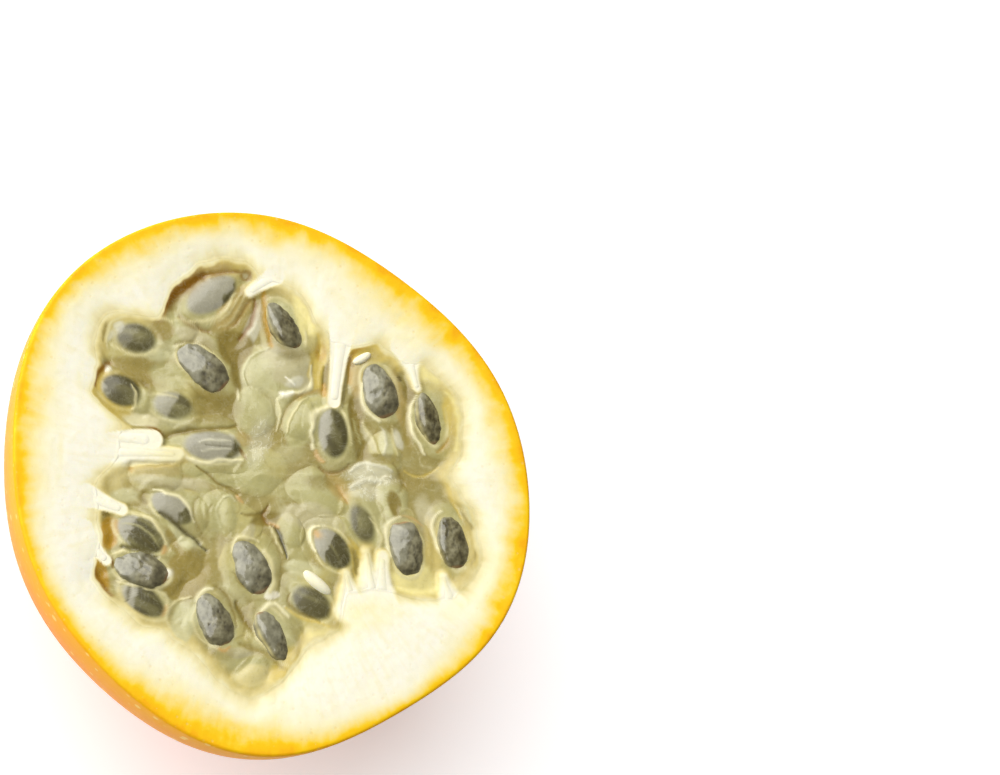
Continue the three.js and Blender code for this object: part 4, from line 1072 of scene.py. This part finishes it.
def jelly_top(x, y):
    """Height and colour of the jelly's top, and how fluffy and how dry it is.

    Over the bags come a yellow bank along the wall, the patches, the seeds and the folds. At the
    wall and beside the pegs the height eases to their levels, and the jelly thins out over the pith.
    """
    height, colour, streak = bag_top(x, y)
    to_peg, whitened = peg_sides(x, y)
    inwards = -past_edge(x, y)
    for tint, strength, start, width in BANK_TINTS:
        colour = lay(colour, tint, strength * ease(start - inwards / width))
    bent_x, bent_y = bent(x, y, PATCH_BENDS)
    fluff = np.zeros(x.shape)
    for *oval, tint, strength, soft, lift in PATCHES:
        out = np.hypot(*local(bent_x, bent_y, np.array([oval])))[..., 0]
        share = strength * ease(0.5 + (1.0 - out) / soft)
        colour = lay(colour, tint, share)
        height = height + PATCH_LIFT * lift * ease(1.2 - out)
        if tint == "fluff":
            fluff = np.maximum(fluff, share)
    height, colour = round_seeds(x, y, height, colour, streak)
    for *points, width, lift, tint, strength in FOLDS:
        share = fold_share(bent_x, bent_y, points, width)
        height = height + FOLD_LIFT * lift * share
        colour = lay(colour, tint, FOLD_STRENGTH * strength * share)

    height = mix(height, WALL_LEVEL, ease(1.0 + beyond_wall(x, y) / CLING))
    shows = PEG_SHOWS + WHITE_SHOWS * np.clip(whitened, 0.0, FAR)
    height = mix(height, PEG_TOP - shows, ease(1.0 - to_peg / PEG_FILLET))
    for tint, start, width in EDGE_TINTS:
        colour = lay(colour, tint, ease((-inwards - start) / width))
    return height, colour, fluff, ease(1.0 - inwards / DRY_EDGE)


def jelly_rings():
    """Rings up the hollow's wall from its bottom, then in over the top; colours; fluff and dryness."""
    angle = round_angles(JELLY_ROUND)
    edge = hollow_reach(angle)
    rings = [polar(angle, 0.0, CUT_LEVEL - HOLLOW_DEPTH + JELLY_GAP)]
    for depth in np.linspace(1.0, 0.0, JELLY_WALL_RINGS, endpoint=False)[1:]:
        rings.append(wall_ring(angle, edge, depth, JELLY_GAP))
    walls = np.array(rings)
    reach = np.linspace(1.0, 0.0, JELLY_TOP_RINGS)[:, None] * (edge + OVER_EDGE)
    x, y = reach * np.cos(angle), reach * np.sin(angle)
    height, colour, fluff, dry = jelly_top(x, y)
    tops = np.stack((x, y, height), -1)
    looks = np.stack((fluff, dry, 0.0 * dry), -1)
    return (
        np.concatenate((walls, tops))[None],
        np.concatenate((plain("gel", walls.shape[:-1]), colour))[None],
        np.concatenate((np.zeros(walls.shape), looks))[None],
    )


FROSTY = (226, 222, 190)


def jelly_material():
    """Wet jelly: its own colours, light scattered below its skin, a wet coat and frosty threads.

    The threads are the lines where a swirling noise is at its middle value.
    """
    made, tree, shader = new_material(
        "grey_green_jelly",
        Subsurface_Weight=0.1, Subsurface_Radius=(1.0, 0.9, 0.6), Subsurface_Scale=0.0010,
        Coat_Roughness=0.12, Coat_IOR=1.4, Specular_IOR_Level=0.4,
    )
    place = object_place(tree)
    looks = carried_by(tree, "fluff_dry", "Color")
    fluff, dry, _ = add(tree, "ShaderNodeSeparateColor", {"Color": looks}).outputs
    fine = clouds(tree, place, 1400.0, detail=3.0)
    light = span(tree, fine, 0.0, 1.0, 0.88, 1.12)
    grey = add(tree, "ShaderNodeCombineColor", {"Red": light, "Green": light, "Blue": light}).outputs[0]
    swirl = clouds(tree, place, 650.0, detail=2.0, distortion=1.5)
    thread = span(tree, maths(tree, "ABSOLUTE", maths(tree, "SUBTRACT", swirl, 0.5)), 0.035, 0.0)
    thread = times(tree, thread, maths(tree, "MULTIPLY_ADD", fluff, 1.1, 0.1))
    tint = blend(tree, 1.0, carried_by(tree, "tint", "Color"), grey, "MULTIPLY")
    relief = maths(tree, "MULTIPLY_ADD", thread, 0.6, clouds(tree, place, 500.0))
    normal = bumps(tree, relief, strength=0.3, rise=0.2)
    feed(shader, {
        "Base Color": blend(tree, thread, tint, rgba(FROSTY)),
        "Normal": normal,
        "Coat Normal": normal,
        "Roughness": maths(tree, "MULTIPLY_ADD", dry, 0.25, span(tree, fine, 0.0, 1.0, 0.2, 0.4)),
        "Coat Weight": span(tree, dry, 0.0, 1.0, 0.7, 0.1),
    })
    return made


jelly_grid, jelly_tint, jelly_looks = jelly_rings()
jelly = skin_mesh(
    "jelly", jelly_grid, {"tint": jelly_tint, "fluff_dry": jelly_looks}, (jelly_material(),),
)
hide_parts("pulp")
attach(jelly, "root")

# ---- Seeds ----
# Flat dark seeds, pitted all over, with a pale brown tip where each hung on its stalk. They lie
# in the open tops of their bags, under a film of juice.

SEED_RINGS = 42
SEED_ROUND = 64
TOPMOST = 36.2  # height of their highest points
OVAL_ENDS = 0.8  # below 1 the ends of seeds and stalk ends are blunter than an ellipsoid's
SEED_BLUNT = 0.10  # how much more girth one end has, as a share
SEED_FACES = 0.5  # below 1 the two faces are flatter than an ellipsoid's
SEED_LUMPS = ((0.07, 1.7, 65), (0.035, 0.6, 66))  # layers of noise, as shares of its size: size, cell, seed
PITS = 230
PIT_JITTER = 0.35
PIT_REACH = 0.30
PIT_DEPTH = 0.05
DUST = 0.6  # how much of the film is left as dust on the rest of a seed
MARGIN = 0.2  # how far from its edge line a seed looks edged, as a share of its half thickness
GOLDEN_TURN = math.pi * (3.0 - math.sqrt(5.0))  # the turn from one pit of the spiral to the next

SEED_COAT = ((0.32, (70, 62, 38)), (0.5, (112, 104, 70)), (0.68, (150, 143, 108)))
# Grey of the film, partly painted sheen on the side towards the light.
SEED_FILM_AND_SHEEN_GREY = ((0.3, (122, 118, 94)), (0.7, (164, 160, 134)))
PIT_BLACK, PIT_GREY, TIP_BROWN, EDGE_PALE = (44, 37, 22), (90, 86, 66), (176, 130, 84), (214, 202, 140)


def turned(x, y, along, across, turn):
    """Points along and across a line through x and y that is turned by an angle."""
    cos, sin = np.cos(turn), np.sin(turn)
    return x + along * cos - across * sin, y + along * sin + across * cos


def seed_grid():
    """Flattened ovals on their long axes, blunter at one end, rolled, turned and dipped with pits.

    Noise makes each a little uneven. The pits lie on a jittered spiral over each seed; each dips the
    skin by a cosine bell.
    """
    draw = np.random.default_rng(61)
    theta = np.linspace(math.pi, 0.0, SEED_RINGS)[:, None]
    phi = round_angles(SEED_ROUND)[None]
    girth = np.sin(theta) ** OVAL_ENDS * (1.0 + SEED_BLUNT * np.cos(theta))
    face = np.sign(np.sin(phi)) * np.abs(np.sin(phi)) ** SEED_FACES
    ball = np.stack(np.broadcast_arrays(np.cos(theta), girth * np.cos(phi), girth * face), -1)
    outwards = ball / np.maximum(0.05, np.linalg.norm(ball, axis=-1))[..., None]
    ends = ease((0.96 - np.abs(ball[..., 0])) / 0.2)
    grids, looks, margins = [], [], []
    for x, y, turn, length, roll, deep, film in SEEDS:
        if deep >= VEILED:
            continue
        half = np.array((length, SEED_WIDTH, SEED_THICKNESS)) / 2.0
        skin = ball * half
        lumps = waver(skin[..., 0] + x, skin[..., 1] + y, SEED_LUMPS, skin[..., 2])
        skin = skin * (1.0 + lumps)[..., None]
        k = np.arange(PITS) + draw.uniform(-PIT_JITTER, PIT_JITTER, PITS)
        z, spin = 1.0 - 2.0 * (k + 0.5) / PITS, k * GOLDEN_TURN
        flat = np.sqrt(np.clip(1.0 - z**2, 0.0, 1.0))
        pits = np.stack((z, flat * np.cos(spin), flat * np.sin(spin)), -1) * half
        away = np.sqrt(((skin[:, :, None] - pits) ** 2).sum(-1)).min(-1)
        dip = ends * (0.5 + 0.5 * np.cos(np.pi * np.clip(away / PIT_REACH, 0.0, 1.0)))
        skin = skin - PIT_DEPTH * dip[..., None] * outwards
        tilt = math.radians(roll)
        _, across, up = np.moveaxis(skin, -1, 0)
        up, across = turned(0.0, 0.0, up, across, tilt)
        high = TOPMOST - 0.5 * math.hypot(SEED_WIDTH * math.sin(tilt), SEED_THICKNESS * math.cos(tilt))
        seen_x, seen_y = turned(x, y, skin[..., 0], across, math.radians(turn))
        grids.append(np.stack((seen_x, seen_y, high + up), -1))
        # Grey film, partly painted sheen on the side towards the light, with dust of it over the rest.
        film_and_sheen_cover = np.maximum(film_and_sheen_share(seen_x, seen_y, up, x, y, film), DUST * film)
        looks.append(np.stack((ball[..., 0], dip, film_and_sheen_cover), -1))
        margins.append(bell(ball[..., 2] / MARGIN))
    return np.array(grids), np.array(looks), np.array(margins)


def seed_material():
    """Wet olive-brown seed coat, black in the pits, brown at the tip and grey under the film, which is
    partly painted sheen.
    """
    made, tree, shader = new_material(
        "dark_seed", Coat_Weight=1.0, Coat_Roughness=0.10, Coat_IOR=1.5, IOR=1.5,
    )
    place = object_place(tree)
    look = carried_by(tree, "tip_pit_film_and_sheen", "Color")
    # film carries the grey film of the seed, partly painted sheen on the side towards the light.
    tip, pit, film = add(tree, "ShaderNodeSeparateColor", {"Color": look}).outputs
    mottle = clouds(tree, place, 900.0, detail=3.0)
    coat = blend(tree, times(tree, pit, 0.85), ramp(tree, mottle, SEED_COAT), rgba(PIT_BLACK))
    grey = blend(tree, times(tree, pit, 0.35), ramp(tree, mottle, SEED_FILM_AND_SHEEN_GREY), rgba(PIT_GREY))
    film_and_sheen_laid = blend(tree, times(tree, film, 0.9), coat, grey)
    tipped = blend(tree, span(tree, tip, 0.86, 0.99), film_and_sheen_laid, rgba(TIP_BROWN))
    broken = span(tree, clouds(tree, place, 400.0), 0.35, 0.6, 0.1, 0.9)
    lined = times(tree, carried_by(tree, "margin"), broken)
    feed(shader, {
        "Base Color": blend(tree, lined, tipped, rgba(EDGE_PALE)),
        "Normal": bumps(tree, maths(tree, "SUBTRACT", mottle, pit), strength=0.3, rise=0.1),
        "Roughness": span(tree, mottle, 0.0, 1.0, 0.3, 0.5),
    })
    return made


seeds_grid, seeds_look, seeds_margin = seed_grid()
seeds = skin_mesh(
    "seeds", seeds_grid, {"tip_pit_film_and_sheen": seeds_look, "margin": seeds_margin}, (seed_material(),),
)
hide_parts("pulp")
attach(seeds, "root")

# ---- Loose ends ----
# Two torn-off ends of stalks that lie on the jelly, white and rounded like grains of rice.

# x, y, turn, length, width.
LOOSE_ENDS = ((5.0, -13.5, -40, 4.7, 1.9), (12.4, 16.8, 30, 2.8, 1.2))
LOOSE_SINK = 0.4  # how far their tops lie below the highest seeds
LOOSE_BEND = 0.10
LOOSE_WHITE = 2.0  # how white they are, as the distance from the hollow at which the pith looks like it
LOOSE_RINGS = 24
LOOSE_ROUND = 32


def loose_grid():
    """Ellipsoids on their long axes, a little bent, with their tops just below the highest seeds."""
    x, y, turn, length, width = np.array(LOOSE_ENDS).T[:, :, None, None]
    theta = np.linspace(math.pi, 0.0, LOOSE_RINGS)[None, :, None]
    phi = round_angles(LOOSE_ROUND)[None, None]
    girth = 0.5 * width * np.sin(theta) ** OVAL_ENDS
    along = 0.5 * length * np.cos(theta)
    across = girth * np.cos(phi) + LOOSE_BEND * along**2 / length
    high = TOPMOST - LOOSE_SINK - width / 2.0 + girth * np.sin(phi)
    return np.stack(np.broadcast_arrays(*turned(x, y, along, across, np.radians(turn)), high), -1)


loose = loose_grid()
loose_ends = skin_mesh(
    "loose_ends", loose,
    {"under_skin": np.full(loose.shape[:-1], FAR), "off_hollow": np.full(loose.shape[:-1], LOOSE_WHITE)},
    (WHITE_PITH,),
)
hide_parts("pulp")
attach(loose_ends, "root")

# ---- Setting ----
# A white table, a large soft light high on the left, even white light from all round, and a camera
# that looks down on the cut from the front left.

LOOK_AT = np.array((-1.45, -0.43, 36.0))  # the middle of the cut
CAMERA_TILT = math.radians(22.0)
CAMERA_LEAN = math.radians(215.0)
CAMERA_AWAY = 560.0
FRAME_WIDE, FRAME_HIGH = 1000.0, 775.0
MIDDLE_IN_FRAME = (268.0, 482.0)  # where the middle of the cut lies in the frame
FRAME_MM = 0.1296  # millimetres at the cut for one step of the frame
SENSOR = 36.0
KEY_TOWARDS = math.radians(140.0)
KEY_TILT = math.radians(42.0)
KEY_AWAY = 1.3
KEY_SIDE = 2.2
KEY_WATTS = 45.0
FILL = 0.54
TABLE_WHITE = (0.8, 0.8, 0.8, 1.0)
TABLE_GLOW = 0.46  # the table is lit from below, as a white sweep is
TABLE_HALF = 2.0  # metres from its middle to its sides


def unit(vector):
    """A vector made one long."""
    return np.asarray(vector) / np.linalg.norm(vector)


def aimed(made, at, fwd, up):
    """Put a camera or light at a place, looking along fwd with its top towards up."""
    right = unit(np.cross(fwd, up))
    turned = np.array((right, np.cross(right, fwd), -fwd)).T
    made.matrix_world = Matrix.LocRotScale(Vector(at), Matrix(turned).to_quaternion(), None)
    bpy.context.scene.collection.objects.link(made)
    return made


lean = np.array((math.cos(CAMERA_LEAN), math.sin(CAMERA_LEAN), 0.0))
across_lean = np.array((-lean[1], lean[0], 0.0))
view_from = math.sin(CAMERA_TILT) * lean + np.array((0.0, 0.0, math.cos(CAMERA_TILT)))
lean_seen = math.cos(CAMERA_TILT) * lean - np.array((0.0, 0.0, math.sin(CAMERA_TILT)))
right = math.cos(CAMERA_LEAN) * lean_seen - math.sin(CAMERA_LEAN) * across_lean
top = math.sin(CAMERA_LEAN) * lean_seen + math.cos(CAMERA_LEAN) * across_lean
camera_at = LOOK_AT + CAMERA_AWAY * view_from
aim_right = (FRAME_WIDE / 2.0 - MIDDLE_IN_FRAME[0]) * FRAME_MM
aim_up = (MIDDLE_IN_FRAME[1] - FRAME_HIGH / 2.0) * FRAME_MM
looked_at = LOOK_AT + aim_right * right + aim_up * top
camera = bpy.data.objects.new("camera", bpy.data.cameras.new("camera"))
camera.data.sensor_width = SENSOR
camera.data.lens = SENSOR * CAMERA_AWAY / (FRAME_MM * FRAME_WIDE)
aimed(camera, camera_at * MM, unit(looked_at - camera_at), top)
bpy.context.scene.camera = camera

key = bpy.data.objects.new("soft_key", bpy.data.lights.new("soft_key", "AREA"))
key.data.size = KEY_SIDE
key.data.energy = KEY_WATTS
key_from = np.array((
    math.sin(KEY_TILT) * math.cos(KEY_TOWARDS),
    math.sin(KEY_TILT) * math.sin(KEY_TOWARDS),
    math.cos(KEY_TILT),
))
aimed(key, key_from * KEY_AWAY, -key_from, np.array((0.0, 0.0, 1.0)))

world = bpy.data.worlds.new("studio")
world.use_nodes = True
backdrop = world.node_tree.nodes["Background"]
backdrop.inputs["Strength"].default_value = FILL
bpy.context.scene.world = world
bpy.context.scene.view_settings.view_transform = "Standard"

table_mesh = bpy.data.meshes.new("table")
corners = [(TABLE_HALF * x, TABLE_HALF * y, 0.0) for x, y in ((-1, -1), (1, -1), (1, 1), (-1, 1))]
table_mesh.from_pydata(corners, [], [(0, 1, 2, 3)])
table_material, _, _ = new_material(
    "white_table", Roughness=0.6, Base_Color=TABLE_WHITE,
    Emission_Color=(1.0, 1.0, 1.0, 1.0), Emission_Strength=TABLE_GLOW,
)
table_mesh.materials.append(table_material)
table = bpy.data.objects.new("table", table_mesh)
bpy.context.scene.collection.objects.link(table)
